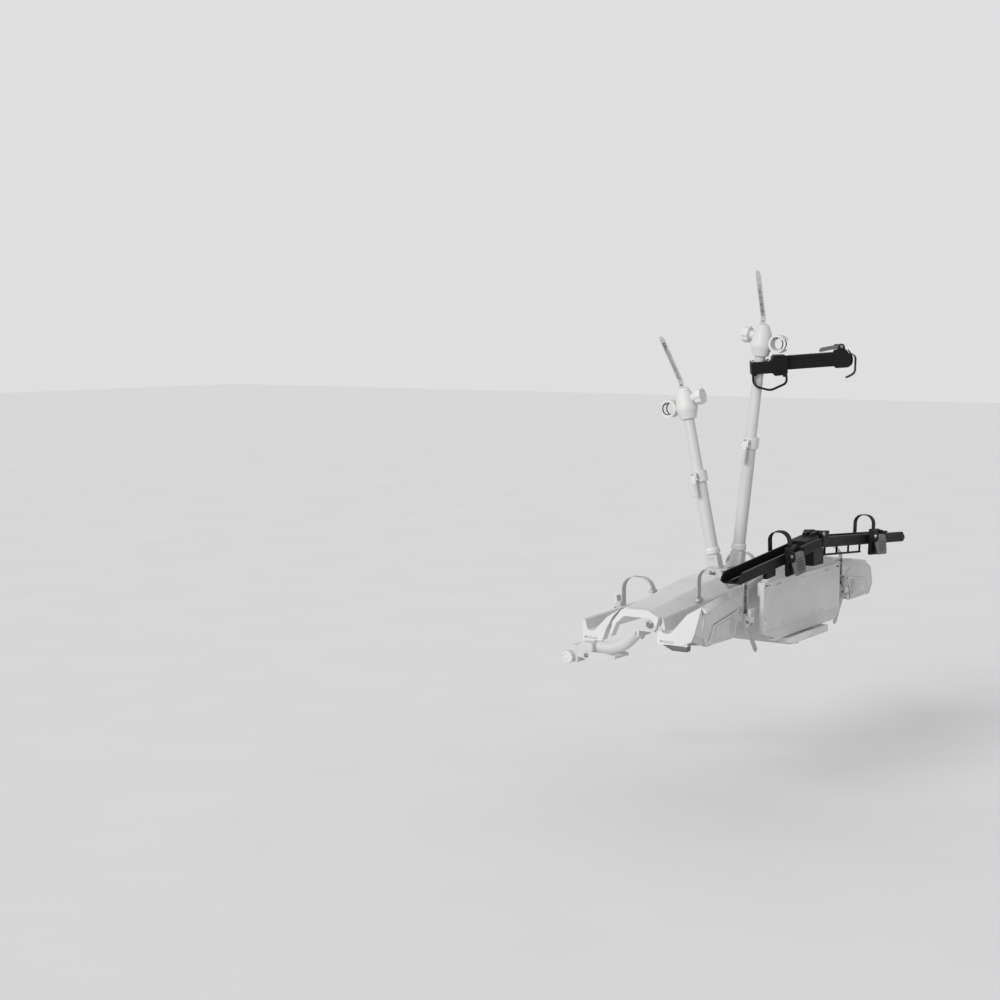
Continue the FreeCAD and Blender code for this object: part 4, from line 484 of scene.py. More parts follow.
def stations(points, start, step, end=0.0):
    """Places at equal distances along a line, with its direction there; sizes in millimetres."""
    lengths = [(after - before).length * 1000 for before, after in zip(points, points[1:])]
    total = sum(lengths) - end
    found = []
    at = start
    while at < total:
        left = at
        for length, before, after in zip(lengths, points, points[1:]):
            if left <= length:
                found.append((before.lerp(after, left / length), (after - before).normalized()))
                break
            left -= length
        at += step
    return found


def band(name, points, across, thick, edge=0.5):
    """A flat band along a line: its width lies along a vector and it thickens to one side."""
    made = drawn(name, points)
    take_all()
    extrude(across)
    take_all()
    bpy.ops.transform.translate(value=across * -0.5)
    leave()
    modify(made, "SOLIDIFY", thickness=thick / 1000, offset=-1)
    recalculate(made)
    modify(made, "BEVEL", width=edge / 1000, segments=2, limit_method="ANGLE",
           angle_limit=math.radians(50))
    return made


def toothed(name, found, width, deep, high, outward):
    """A row of ratchet teeth across a band, one at each station."""
    tooth = drawn(name, [mm(0, 0, 0), mm(deep, 0, 0), mm(deep * 0.25, 0, high)])
    fill()
    extrude(mm(0, width, 0))
    take_all()
    bpy.ops.transform.translate(value=mm(0, -width / 2, 0))
    bpy.ops.mesh.normals_make_consistent(inside=False)
    leave()
    places = []
    for spot, along in found:
        up = outward(spot, along).normalized()
        axes = Matrix((along, up.cross(along), up)).transposed().to_4x4()
        places.append(Matrix.Translation(spot) @ axes)
    return repeated(tooth, places)


class Nodes:
    """A short way to build a material's node tree."""

    def __init__(self, name):
        self.material = bpy.data.materials.new(name)
        self.material.use_nodes = True
        self.tree = self.material.node_tree
        self.tree.nodes.clear()
        out = self.add("OutputMaterial")
        self.shader = self.add("BsdfPrincipled")
        self.link(self.shader, "BSDF", out, "Surface")
        self.place = self.add("TexCoord")

    def add(self, kind):
        return self.tree.nodes.new("ShaderNode" + kind)

    def link(self, source, output, target, entry):
        self.tree.links.new(source.outputs[output], target.inputs[entry])

    def noise(self, scale, detail):
        """A noise in the object's own coordinates; the scale is per metre."""
        made = self.add("TexNoise")
        made.inputs["Scale"].default_value = scale
        made.inputs["Detail"].default_value = detail
        made.inputs["Roughness"].default_value = 0.55
        self.link(self.place, "Object", made, "Vector")
        return made

    def tint(self, source, entry, stops):
        """Let a noise drive an entry of the shader through a ramp."""
        made = self.add("ValToRGB")
        while len(made.color_ramp.elements) < len(stops):
            made.color_ramp.elements.new(0.5)
        for element, (position, colour) in zip(made.color_ramp.elements, stops):
            element.position = position
            element.color = tuple(colour) + (1,)
        self.link(source, "Fac", made, "Fac")
        self.link(made, "Color", self.shader, entry)

    def gloss(self, source, low, high):
        """Let a noise vary the roughness between two values."""
        self.tint(source, "Roughness", [(0.3, (low,) * 3), (0.7, (high,) * 3)])

    def bump(self, *layers):
        """Dent the surface by layers of (noise, strength, distance in metres)."""
        before = None
        for source, strength, distance in layers:
            made = self.add("Bump")
            made.inputs["Strength"].default_value = strength
            made.inputs["Distance"].default_value = distance
            self.link(source, "Fac", made, "Height")
            if before is not None:
                self.link(before, "Normal", made, "Normal")
            before = made
        self.link(before, "Normal", self.shader, "Normal")


def shade(colour, factor):
    """A lighter or darker copy of a colour."""
    return tuple(min(1.0, part * factor) for part in colour)


def moulded(name, colour, grain, rough=0.5, spread=0.08, shine=0.5):
    """Moulded plastic: fine grain, faint cloudiness and uneven gloss."""
    made = Nodes(name)
    made.tint(made.noise(9, 4), "Base Color", [
        (0.3, shade(colour, 1 - spread)), (0.55, colour), (0.75, shade(colour, 1 + spread))])
    made.gloss(made.noise(34, 3), rough - 0.07, rough + 0.08)
    made.bump((made.noise(1 / grain, 2), 0.25, 0.00012), (made.noise(60, 2), 0.12, 0.0003))
    made.shader.inputs["IOR"].default_value = 1.46
    made.shader.inputs["Specular IOR Level"].default_value = shine
    return made.material


def painted(name, colour, rough=0.4):
    """Powder coat on metal: orange peel, faint tone changes and rubbed spots."""
    made = Nodes(name)
    made.tint(made.noise(6, 4), "Base Color", [
        (0.3, shade(colour, 0.93)), (0.6, colour), (0.8, shade(colour, 1.05))])
    made.bump((made.noise(420, 2), 0.3, 0.0002))
    made.gloss(made.noise(18, 3), rough - 0.08, rough + 0.1)
    return made.material


def turned_steel(name, colour=(0.32, 0.32, 0.33)):
    """Bare steel with fine turning marks."""
    made = Nodes(name)
    made.shader.inputs["Metallic"].default_value = 1.0
    lines = made.noise(900, 2)
    lines.inputs["Distortion"].default_value = 0.4
    made.tint(lines, "Base Color", [(0.3, shade(colour, 0.85)), (0.7, shade(colour, 1.15))])
    made.bump((lines, 0.15, 0.0001))
    made.gloss(made.noise(40, 3), 0.28, 0.42)
    return made.material


def ribbed_band(name, colour):
    """Flexible band: soft sheen, fine cross grain and scuffs."""
    made = Nodes(name)
    scuff = made.noise(55, 4)
    made.tint(scuff, "Base Color", [
        (0.3, shade(colour, 0.88)), (0.55, colour), (0.78, shade(colour, 1.1))])
    made.bump((made.noise(1500, 2), 0.3, 0.0001))
    made.gloss(scuff, 0.52, 0.66)
    return made.material


MATERIALS = {}


class RACK_OT_finishes(bpy.types.Operator):
    """Make the finishes and give each CAD node its own"""
    bl_idname = "rack.finishes"
    bl_label = "Finishes"

    def execute(self, context):
        paint = context.scene.rack_paint
        MATERIALS.update({
            "pale_plastic": moulded("pale_shell", tuple(paint.shell), paint.grain),
            "pale_paint": painted("pale_coat", tuple(paint.metal)),
            "strap": ribbed_band("band", tuple(paint.strap)),
            "lens": moulded("lamp_lens", shade(paint.shell, 0.88), paint.grain * 2, 0.22, 0.03),
            # lamp_side is the shell colour at half brightness: painted shade for the light cheeks, which face
            # away from the lamp.
            "lamp_side": moulded("lamp_side", shade(paint.shell, 0.5), paint.grain * 2, 0.3, 0.03),
            "steel": turned_steel("bare_steel"),
            "black_plastic": moulded("black_shell", tuple(paint.rail), paint.grain, 0.55, 0.2, 0.22),
            "black_paint": moulded("black_coat", tuple(paint.rail), paint.grain * 2, 0.5, 0.15, 0.26),
            # grey_lever also colours the frame boots, partly as painted shade, and the rail ridge and lips as
            # painted highlight.
            "grey_lever": moulded("grey_lever", tuple(paint.lever), paint.grain, 0.45, 0.1),
        })
        for part in frame["record"]["subparts"]:
            node = NODES[part["node"]]
            finish = MATERIALS[part["material_slot"]]
            node.data.materials.clear()
            node.data.materials.append(finish)
        return {"FINISHED"}


def wheel_strap(name, middle, tray, seat, hook, foot, top, way):
    """Teeth, rims, foot and buckle parts of one wheel strap; WHEEL_STRAPS says what each size is."""
    wing = "wing_" + name
    where = "%s_%s" % (tray, name)

    def out(distance):
        return hook + way * (3 + distance)

    path = rounded([
        (middle, seat - way * 3, foot), (middle, seat - way * 3, top + 3, 43),
        (middle, out(0), top + 3, 43), (middle, out(0), BUCKLE_FOOT + 52)])
    teeth = toothed("strap_teeth_" + where, stations(path, 12, TOOTH_STEP), 15, 3.2, 1.1,
                    lambda spot, along: along.cross(Vector((1, 0, 0))) * way)
    fit(teeth, wing, "strap")
    edges = [
        band("strap_edge", [point + mm(offset, 0, 0) for point in path], mm(2.6, 0, 0), 0.9, 0.3)
        for offset in (-10.6, 10.6)]
    fit(joined("strap_rims_" + where, edges), wing, "strap")
    shoe = block("strap_foot_" + where, (middle - 17, seat - 7, foot), (middle + 17, seat + 6, foot + 11),
                 2.2, 3)
    fit(shoe, wing, "strap")
    steel("strap_screws_" + where, wing, [
        bolt(mm(middle + x, seat, foot + 11), (0, 0, 1), 3, 1.6, 16) for x in (-13.2, 13.2)])

    cheek = [(out(distance), BUCKLE_FOOT + z) for distance, z in BUCKLE_CHEEK]
    cheeks = [plate("cheek", at_x(middle + x, cheek), mm(3.2, 0, 0), 0.9) for x in (-18.6, 15.4)]
    fit(joined("buckle_cheeks_" + where, cheeks), wing, "strap")
    steel("buckle_caps_" + where, wing, [
        bolt(mm(middle + x * 18.6, out(17), BUCKLE_FOOT + 25), (x, 0, 0), 5, 1.6) for x in (-1, 1)])
    release = block("buckle_release_" + where, (middle - 9, out(9), BUCKLE_FOOT + 3),
                    (middle + 9, out(13), BUCKLE_FOOT + 13), 1.4, 3)
    fit(release, wing, "strap")
    bars = [block("bar", (middle - 10.5, out(24), BUCKLE_FOOT + 40 + 5 * count),
                  (middle + 10.5, out(26.2), BUCKLE_FOOT + 42.2 + 5 * count), 0.8)
            for count in range(5)]
    fit(joined("lever_ribs_" + where, bars), "strap_lever_" + where, "strap")


class RACK_OT_wheel_straps(bpy.types.Operator):
    """Teeth, rims, feet and buckle parts of the four wheel straps"""
    bl_idname = "rack.wheel_straps"
    bl_label = "Wheel Straps"

    def execute(self, context):
        for name, side in SIDES:
            for strap in WHEEL_STRAPS:
                wheel_strap(name, side * STRAP_MIDDLE, *strap)
            line = at_y(-823, ((STRAP_MIDDLE, 228), (STRAP_MIDDLE - 60, 146)), side)
            teeth = toothed("tail_teeth_" + name, stations(line, 4, TOOTH_STEP), 15, 3.2, 1.0,
                            lambda spot, along: Vector((0, -1, 0)))
            fit(teeth, "wing_" + name, "strap")
        return {"FINISHED"}


class RACK_OT_lights(bpy.types.Operator):
    """Lens frames, panels, flutes, roofs, cheeks in painted shade and screws of the rear lights"""
    bl_idname = "rack.lights"
    bl_label = "Rear Lights"

    def execute(self, context):
        for name, side in SIDES:
            wing = "wing_" + name
            rim = framed("lens_frame_" + name, at_y(-814.2, LENS, side), 3.4, mm(0, -5.2, 0), 0.5)
            fit(rim, wing, "pale_plastic")
            panel = plate("lens_panel_" + name, at_y(LENS_FACE, LENS_PANEL, side), mm(0, -1.6, 0), 0.6)
            fit(panel, wing, "lens")
            flutes = []
            for count in range(9):
                x = 447 + 4.2 * count
                flutes.append(block("flute", (side * x, LENS_FACE - 1.3, 222 + 0.1 * count),
                                    (side * (x + 1.6), LENS_FACE, 279 - 0.45 * count), 0.5, 1))
            fit(joined("lens_flutes_" + name, flutes), wing, "lens")
            seam = framed("light_seam_" + name, at_y(-812.6, LIGHT_EDGE, side), 1.6, mm(0, -2.2, 0), 0.4)
            fit(seam, wing, "pale_plastic")
            corners = at_y(-762, ((462, 222), (584, 222), (462, 274), (584, 274)), side)
            steel("light_screws_" + name, wing, [bolt(corner, (0, 1, 0), 5, 3) for corner in corners])
            sections = [[mm(side * x, y, z) for y, z in corners] for x, *corners in LIGHT_ROOF]
            roof = [lofted("roof", first, last) for first, last in zip(sections, sections[1:])]
            fit(joined("light_roof_" + name, roof), wing, "pale_plastic")
            self.cheek(name, side)
            plug = turned("light_plug_" + name, [
                (0, 0), (13, 0), (13, 6), (11, 6), (11, 16), (9.4, 18), (0, 18)], 28)
            fit(plug, wing, "pale_plastic", upright(mm(side * 524, -762, 247), (0, 1, 0)))
        return {"FINISHED"}

    def cheek(self, name, side):
        """The skin from the end frame to the light, and a band over the light's edge, both coloured a darker
        grey as painted shade.
        """
        centre = mm(side * 560, -806.4, 255)
        near = at_x(side * 627, CHEEK_NEAR)
        far = at_y(-806.4, CHEEK_FAR, side)
        skin = lofted("light_cheek_painted_shade_" + name, near + [corner + mm(0, 3.5, 1.5) for corner in near[::-1]],
                      far + [centre.lerp(corner, 0.93) for corner in far[::-1]], 0.3)
        wrap = band("wrap", at_y(-809.9, LIGHT_PLATE, side), mm(0, 9, 0), side * -1.2, 0.4)
        joined(skin.name, [skin, wrap])
        fit(skin, "wing_" + name, "lens")
        # The cheek gets the darker lamp_side colour as painted shade.
        skin.data.materials[0] = MATERIALS["lamp_side"]


class RACK_OT_plate_holder(bpy.types.Operator):
    """Clips, crease, latch marks, stop and bump of the plate holder"""
    bl_idname = "rack.plate_holder"
    bl_label = "Plate Holder"

    def execute(self, context):
        clips = [
            plate("clip", at_x(x - 15, outline), mm(30, 0, 0), 0.4, 1)
            for places, outline in (((-190, 0, 190), UPPER_CLIP), ((-150, 150), LOWER_CLIP))
            for x in places]
        fit(joined("plate_clips", clips), "platform", "pale_plastic")
        crease = plate("plate_crease", at_x(-297, (
            (-841.6, 203.4), (-843.2, 202.6), (-843.9, 200.4), (-842, 200))), mm(594, 0, 0), 0.3, 1)
        fit(crease, "platform", "pale_plastic")
        marks = [block("mark", (x, -842.9, z), (x + wide, -841, z + tall), 0.4, 1)
                 for x, z, wide, tall in ((-285, 346, 14, 4), (-262, 346, 8, 3), (270, 344, 15, 5))]
        fit(joined("plate_marks", marks), "platform", "black_plastic")
        stop = block("plate_stop", (-296, -848, 222), (-282, -841.5, 239), 2, 3)
        fit(stop, "platform", "pale_plastic")
        clear_selection()
        bpy.ops.mesh.primitive_uv_sphere_add(segments=40, ring_count=20, radius=0.05, location=(0, 0, 0))
        bump = bpy.context.object
        bump.name = "lip_bump"
        enter()
        bpy.ops.mesh.bisect(plane_co=(0, 0, 0), plane_no=(0, 0, 1), clear_outer=True, use_fill=True)
        take_all()
        bpy.ops.transform.resize(value=(1, 0.22, 0.24), center_override=(0, 0, 0))
        leave()
        bump.location = mm(-205, -845, 176)
        fit(bump, "platform", "pale_plastic")
        return {"FINISHED"}


class RACK_OT_hood_trim(bpy.types.Operator):
    """Brim bead of the rear hood and the cap of the post"""
    bl_idname = "rack.hood_trim"
    bl_label = "Hood Trim"

    def execute(self, context):
        brim = plate("hood_brim", at_x(-277, (
            (-845.6, 356.6), (-847.2, 357.2), (-847.0, 359), (-845.2, 359.4))), mm(554, 0, 0), 0.3, 1)
        fit(brim, "platform", "pale_plastic")
        cap = framed("post_cap", [
            mm(x, y, 398) for x, y in ((-53, -755), (53, -755), (53, -817), (-53, -817))], 4,
            mm(0, 0, 2.4), 0.6)
        fit(cap, "platform", "pale_paint")
        return {"FINISHED"}


class RACK_OT_pedal_trim(bpy.types.Operator):
    """Tread ribs and pivot bolts of the release pedal and the nuts of its rod"""
    bl_idname = "rack.pedal_trim"
    bl_label = "Pedal Trim"

    def execute(self, context):
        ribs = [block("rib", (-84 + 14 * count, -856, 163.4), (-77 + 14 * count, -838, 165.2), 0.7)
                for count in range(12)]
        fit(joined("pedal_tread", ribs), "pedal", "pale_plastic")
        steel("pedal_bolts", "pedal", [
            bolt(mm(side * 78.4, -786, 158), (side, 0, 0), 10, 3.6) for side in (-1, 1)])
        steel("push_rod_nuts", "push_rod", [
            nut(mm(72, y, 113), (0, 1, 0), 8.4, tall) for y, tall in ((-378.5, 5), (-393, 4))])
        return {"FINISHED"}


def tread(name, start, step, count, front, rear, floor):
    """A row of ribs in a wheel tray, from a first one at x start."""
    rib = block(name, (start - 1.5, rear, floor - 0.6), (start + 1.5, front, floor + 1.4), 0.6)
    return repeated(rib, [Matrix.Translation(mm(step * index, 0, 0)) for index in range(count)])


class RACK_OT_deck_trim(bpy.types.Operator):
    """Tread ribs in the wheel trays, slot tabs, frame boots, hinge nuts and the beam plug; the boots' dark
    grey is partly a rubber foot and partly painted shade under the end frames
    """
    bl_idname = "rack.deck_trim"
    bl_label = "Deck Trim"

    def execute(self, context):
        for name, side in SIDES:
            wing = "wing_" + name
            for tray, *sizes in TRAYS:
                ribs = tread("tray_tread_%s_%s" % (tray, name), side * 176, side * TREAD_STEP, 36, *sizes)
                fit(ribs, wing, "pale_plastic")
            tabs = [block("tab", (side * 625.5, back - 44.6, low + 1.1),
                          (side * 628.8, back - 12, low + 4.9), 0.6)
                    for back, low in ((-386, 189), (-656, 203))]
            fit(joined("slot_tabs_" + name, tabs), wing, "pale_plastic")
            # Each frame boot is a dark grey sheet over the end frame's foot: partly a rubber foot and partly
            # painted shade under the end frame.
            near, far = sorted((side * 603.2, side * 627.9))
            boot = plate("frame_boot_painted_shade_" + name, at_x(near, (
                (-662, 196.4), (-697, 180.3), (-746.9, 180.3), (-748.9, 196.4))), mm(far - near, 0, 0), 0.9)
            fit(boot, wing, "grey_lever")
            steel("hinge_nuts_" + name, "platform", [
                nut(mm(side * 150, y, BOLT_HEIGHT), (0, way, 0), 8.6, 5)
                for y, way in ((-500, 1), (-622, -1), (-742, 1), (-816, -1))])
            rows = [block("row", (side * 588 - 22, -598 + 12 * count, 295.4),
                          (side * 588 + 22, -594.5 + 12 * count, 297.2), 0.7) for count in range(6)]
            fit(joined("deck_grip_" + name, rows), wing, "pale_plastic")
        for tray, *sizes in TRAYS:
            ribs = tread("tray_tread_%s_middle" % tray, -127.6, TREAD_STEP, 23, *sizes)
            fit(ribs, "platform", "pale_paint")
        plug = block("beam_plug", (-38.6, -821.5, 128.4), (38.6, -812, 203.6), 2, 3)
        pick(plug)
        enter()
        choose(plug, lambda face: face.normal.y < -0.9)
        bpy.ops.mesh.inset(thickness=0.007)
        extrude((0, 0.003, 0))
        leave()
        fit(plug, "platform", "pale_plastic")
        steel("bracket_bolts", "platform", [
            bolt(mm(x, y, BOLT_HEIGHT), (0, 0, 1), 7, 5.5) for x in (-34, 34) for y in (-606, -514)])
        _, pin_y, pin_z = MAST_PIN
        steel("mast_pin_nuts", "platform", [
            nut(mm(side * 101, pin_y, pin_z), (side, 0, 0), 11, 6) for side in (-1, 1)])
        return {"FINISHED"}


class RACK_OT_coupling_trim(bpy.types.Operator):
    """Adjuster knob, grip sleeve, rivets, bolts and weld of the coupling"""
    bl_idname = "rack.coupling_trim"
    bl_label = "Coupling Trim"

    def execute(self, context):
        knob = scalloped("adjuster_knob", 23, 20, 10, 1.6, 2)
        knob_at = upright(mm(-32.7, *KNOB_CENTRE), (-1, 0, 0))
        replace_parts(fit(knob, "clamp_knob", "pale_plastic", knob_at), "clamp_knob")
        shaft = turned("adjuster_shaft", [(0, 0), (4.9, 0), (4.9, 20), (4.2, 21.4), (0, 21.4)], 24)
        fit(shaft, "clamp_knob", "steel", upright(mm(-33, *KNOB_CENTRE), (1, 0, 0)))
        grip = [(5.5, 0), (7, 0.6)]
        for count in range(12):
            start = 4 + 6.4 * count
            grip += [(7.2, start), (7.2, start + 3.6), (6.4, start + 4.4), (6.4, start + 5.6)]
        grip += [(7.2, 81), (7, 84.4), (5.5, 85)]
        sleeve = turned("lever_sleeve", grip, 28)
        fit(sleeve, "clamp_lever", "pale_plastic", upright(mm(-42.5, -148, 4), (1, 0, 0)))
        rivet = [(0, 0), (9, 0), (9, 1.6), (7.4, 3.2), (3, 3.9), (0, 4)]
        steel("jaw_pin_rivets", "coupling", [
            stand(turned("rivet", rivet, 28), mm(way * 47.8, -34, 0), (way, 0, 0)) for way in (-1, 1)])
        steel("jaw_bolts", "jaw", [bolt(mm(x, 57.7, -2), (0, 1, 0), 5.4, 4.2) for x in (-18, 18)])
        button = block("catch_button", (-12, -46, 44.5), (12, -24, 49.5), 2.2, 3)
        fit(button, "coupling", "pale_plastic")
        seam = block("housing_seam", (-44.6, -57.4, 16), (44.6, -10, 17.4), 0.5, 1)
        fit(seam, "coupling", "pale_paint")
        clear_selection()
        steps = 72
        bpy.ops.mesh.primitive_torus_add(
            major_radius=0.0235, minor_radius=0.0026, major_segments=steps, minor_segments=12,
            location=(0, 0, 0))
        weld = bpy.context.object
        weld.name = "flange_weld"
        enter()
        bpy.ops.transform.resize(value=(1, 1.68, 1))
        choose(weld, lambda vertex: round(
            math.atan2(vertex.co.y, vertex.co.x) / math.tau * steps) % 3 == 0, "VERT")
        bpy.ops.transform.resize(value=(1.015, 1.015, 1.12), center_override=(0, 0, 0))
        leave()
        fit(weld, "coupling", "pale_paint", upright(mm(0, -235.4, 115), (0, 1, 0)), 80)
        steel("flange_bolts", "coupling", [
            bolt(mm(x, -236, z), (0, 1, 0), 6.5, 6) for x in (-34, 34) for z in (96, 161)])
        steel("tilt_pin_nuts", "coupling", [
            nut(mm(x, -290, 136), (way, 0, 0), 14, tall) for x, way, tall in ((-42, -1, 7), (46.2, 1, 6))])
        return {"FINISHED"}


def mast_tube_trim(mast):
    """Boot, collar and cam parts and height rings of a mast."""
    lower = MASTS[mast][2]
    place = mast_frame(mast)
    stem = "mast_" + mast
    boot = turned("mast_boot_" + mast, [
        (21.2, 62), (25, 62.6), (25.6, 66), (25.6, 70), (24.6, 71), (24.6, 73), (25.2, 74), (24.8, 79),
        (22.6, 83), (21.2, 83.6)], 40)
    fit(boot, stem, "pale_plastic", place)
    rings = [turned("ring", [(27.6, z), (28.9, z + 0.7), (28.9, z + 2.3), (27.6, z + 3)], 40, 296)
             for z in (lower - 24, lower - 15, lower - 6)]
    fit(joined("collar_ribs_" + mast, rings), stem, "pale_plastic", place)
    cap = turned("collar_cap_" + mast, [
        (18.6, lower + 6), (18.6, lower + 10.6), (21, lower + 10.6), (26.4, lower + 8.4),
        (27, lower + 7.6), (27, lower + 6)], 44)
    fit(cap, stem, "pale_plastic", place)
    ribs = [block("rib", (-48.8, -5.4, lower - 70 + 6 * count), (-46, 5.4, lower - 67 + 6 * count), 0.8)
            for count in range(7)]
    fit(joined("cam_ribs_" + mast, ribs), stem + "_lever", "pale_plastic", place)
    steel("cam_pins_" + mast, stem, [
        bolt(mm(-36, way * 12, lower - 10), (0, way, 0), 5, 1.8, 20) for way in (-1, 1)], place)
    marks = [turned("mark", [(17.8, z), (18.25, z + 0.4), (18.25, z + 1.4), (17.8, z + 1.8)], 40)
             for z in (lower + 30 + 24 * count for count in range(6))]
    fit(joined("height_rings_" + mast, marks), stem + "_upper", "pale_paint", place)


def mast_head_trim(mast):
    """Claw pads, seam, torque knob and strap end of a mast's head."""
    long, toward = MASTS[mast][3:]
    place = mast_frame(mast)
    stem = "mast_" + mast
    claw = stem + "_claw"
    pads = []
    for x in (-13.5, 13.5):
        pad = turned("pad", [(22.2, -2.6), (22.2, 2.6), (20.4, 2.2), (20.4, -2.2)], 26, 214)
        pad.matrix_world = Matrix.Translation(mm(x, toward * 62, long)) @ turn(90, "Y") @ turn(
            -90 * toward, "Z")
        settle(pad)
        pads.append(pad)
    fit(joined("claw_pads_" + mast, pads), claw, "black_plastic", place)
    seam = turned("head_seam_" + mast, [
        (22, long - 46.5), (26.8, long - 46.4), (27.8, long - 45), (26.4, long - 43.6),
        (22, long - 43.6)], 40)
    fit(seam, claw, "pale_plastic", place)
    dial = scalloped("torque_knob_" + mast, 28, 24, 8, 2.6, 2.6)
    axle = long + 20
    knob_at = place @ upright(mm(0, toward * -44.3, axle), (0, -toward, 0))
    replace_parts(fit(dial, stem + "_knob", "pale_plastic", knob_at), stem + "_knob")
    post = turned("torque_shaft_" + mast, [(0, 0), (5.8, 0), (5.8, 34), (5, 35), (0, 35)], 24)
    fit(post, stem + "_knob", "steel", place @ upright(mm(0, toward * -45.3, axle), (0, toward, 0)))
    rim = turned("knob_collar_" + mast, [(15, 0), (17.6, 0), (17.6, 3), (16.4, 4), (15, 4)], 32)
    fit(rim, claw, "pale_plastic", place @ upright(mm(0, toward * -43.8, axle), (0, toward, 0)))

    line = rounded([(-10.2, 0, long + 41), (-10.2, 0, long + 80, 30), (-85.2, 0, long + 220)])
    tail = band("head_strap_" + mast, line, mm(0, 18, 0), 2.6, 0.6)
    fit(tail, claw, "strap", place)
    teeth = toothed("head_teeth_" + mast, stations(line, 26, 3.6, 6), 11, 2.8, 0.9,
                    lambda spot, along: along.cross(Vector((0, -1, 0))))
    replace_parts(tail, stem + "_strap")
    fit(teeth, claw, "strap", place)
    tip = plate("head_tip_" + mast, [mm(x, y, long + z) for x, y, z in (
        (-84.2, -9, 218), (-84.2, 9, 218), (-92, 5.4, 232), (-94.2, 0, 236.4), (-92, -5.4, 232))],
        mm(2.4, 0, 1.3), 0.5)
    fit(tip, claw, "strap", place)


class RACK_OT_mast_trim(bpy.types.Operator):
    """Boots, collar ribs, claw pads, torque knobs and head straps of the masts"""
    bl_idname = "rack.mast_trim"
    bl_label = "Mast Trim"

    def execute(self, context):
        for mast in MASTS:
            mast_tube_trim(mast)
            mast_head_trim(mast)
        return {"FINISHED"}


def rail_channel_trim(half):
    """Tread ribs, ridge, lips and screws of a rail half; the grey of the ridge and lips is painted highlight
    on the black rail.
    """
    side, _, long, first, _, body = RAILS[half]
    place = rail_frame(half)
    start = side * first
    pair = joined("rail_tread_" + half, [
        block("rib", (start - 1.2, near, -30.6), (start + 1.2, far, -28.4), 0.6)
        for near, far in ((-26.4, -7.2), (7.2, 26.4))])
    count = int((long - first - 26) / RAIL_TREAD_STEP)
    places = [Matrix.Translation(mm(side * RAIL_TREAD_STEP * index, 0, 0)) for index in range(count)]
    fit(repeated(pair, places), body, "black_plastic", place)
    # The ridge is grey on the black rail as a painted highlight along its crest.
    ridge = block("rail_ridge_painted_highlight_" + half, (start, -2.2, -21.6), (side * (long - 20), 2.2, -20.2), 0.5)
    fit(ridge, body, "grey_lever", place)
    # The lips are grey strips along the tops of the walls as a painted highlight.
    lips = [block("lip", (side * 30, y, -1.4), (side * (long - 28), y + 3.2, 1.2), 0.8)
            for y in (-31.3, 28.1)]
    fit(joined("rail_lips_painted_highlight_" + half, lips), body, "grey_lever", place)
    steel("rail_screws_" + half, body, [
        bolt(mm(side * (long - spot), y, -30), (0, 0, 1), 4.4, 2.4, 20)
        for spot in (40, 120) for y in (-16, 16)], place)


def rail_strap_trim(half):
    """Teeth and buckle parts of the strap on a rail half."""
    x = RAILS[half][0] * RAILS[half][4]
    body = "rail_strap_" + half
    place = rail_frame(half)
    line = rounded([(x, 34.9, -18), (x, 34.9, 65.2, 31), (x, -34.9, 65.2, 31), (x, -34.9, 19)])
    teeth = toothed("rail_strap_teeth_" + half, stations(line, 16, TOOTH_STEP, 4), 15, 3.2, 1.1,
                    lambda spot, along: along.cross(Vector((1, 0, 0))) * -1)
    fit(teeth, body, "black_plastic", place)
    cheek = ((-45.5, -26), (-60.5, -24), (-67.1, -16), (-67.1, 4), (-60.5, 11), (-45.5, 16))
    cheeks = [plate("cheek", at_x(x + shift, cheek), mm(2.6, 0, 0), 0.8) for shift in (-36.4, 33.8)]
    fit(joined("rail_cheeks_" + half, cheeks), body, "black_plastic", place)
    steel("rail_caps_" + half, body, [
        bolt(mm(x + way * 36.4, -56.8, -6), (way, 0, 0), 5.4, 1.8) for way in (-1, 1)], place)
    bed = block("rail_bed_" + half, (x - 24, -48.9, -66), (x + 24, -45.1, -28), 1.4, 3)
    fit(bed, body, "black_plastic", place)
    lines = [block("line", (x - 25, -73.1 - 0.9 * count, -22 - 8 * count),
                   (x + 25, -68.1 - 0.9 * count, -19 - 8 * count), 0.9) for count in range(5)]
    fit(joined("rail_lever_ribs_" + half, lines), "rail_lever_" + half, "grey_lever", place)


class RACK_OT_rail_trim(bpy.types.Operator):
    """Tread ribs, lips in painted highlight grey, screws, nuts, strap teeth and buckle parts of the third
    rail
    """
    bl_idname = "rack.rail_trim"
    bl_label = "Rail Trim"

    def execute(self, context):
        for half in RAILS:
            rail_channel_trim(half)
            rail_strap_trim(half)
        x, y, z = RAIL_PIN
        steel("rail_pin_nuts", "platform", [
            nut(mm(x, y + way * 31.5, z + 11), (0, way, 0), 8, 5) for way in (-1, 1)])
        steel("rail_bracket_bolts", "platform", [
            bolt(mm(x, y, 406), (0, 0, 1), 6.5, 5) for x in (-34, 34) for y in (-836, -784)])
        return {"FINISHED"}


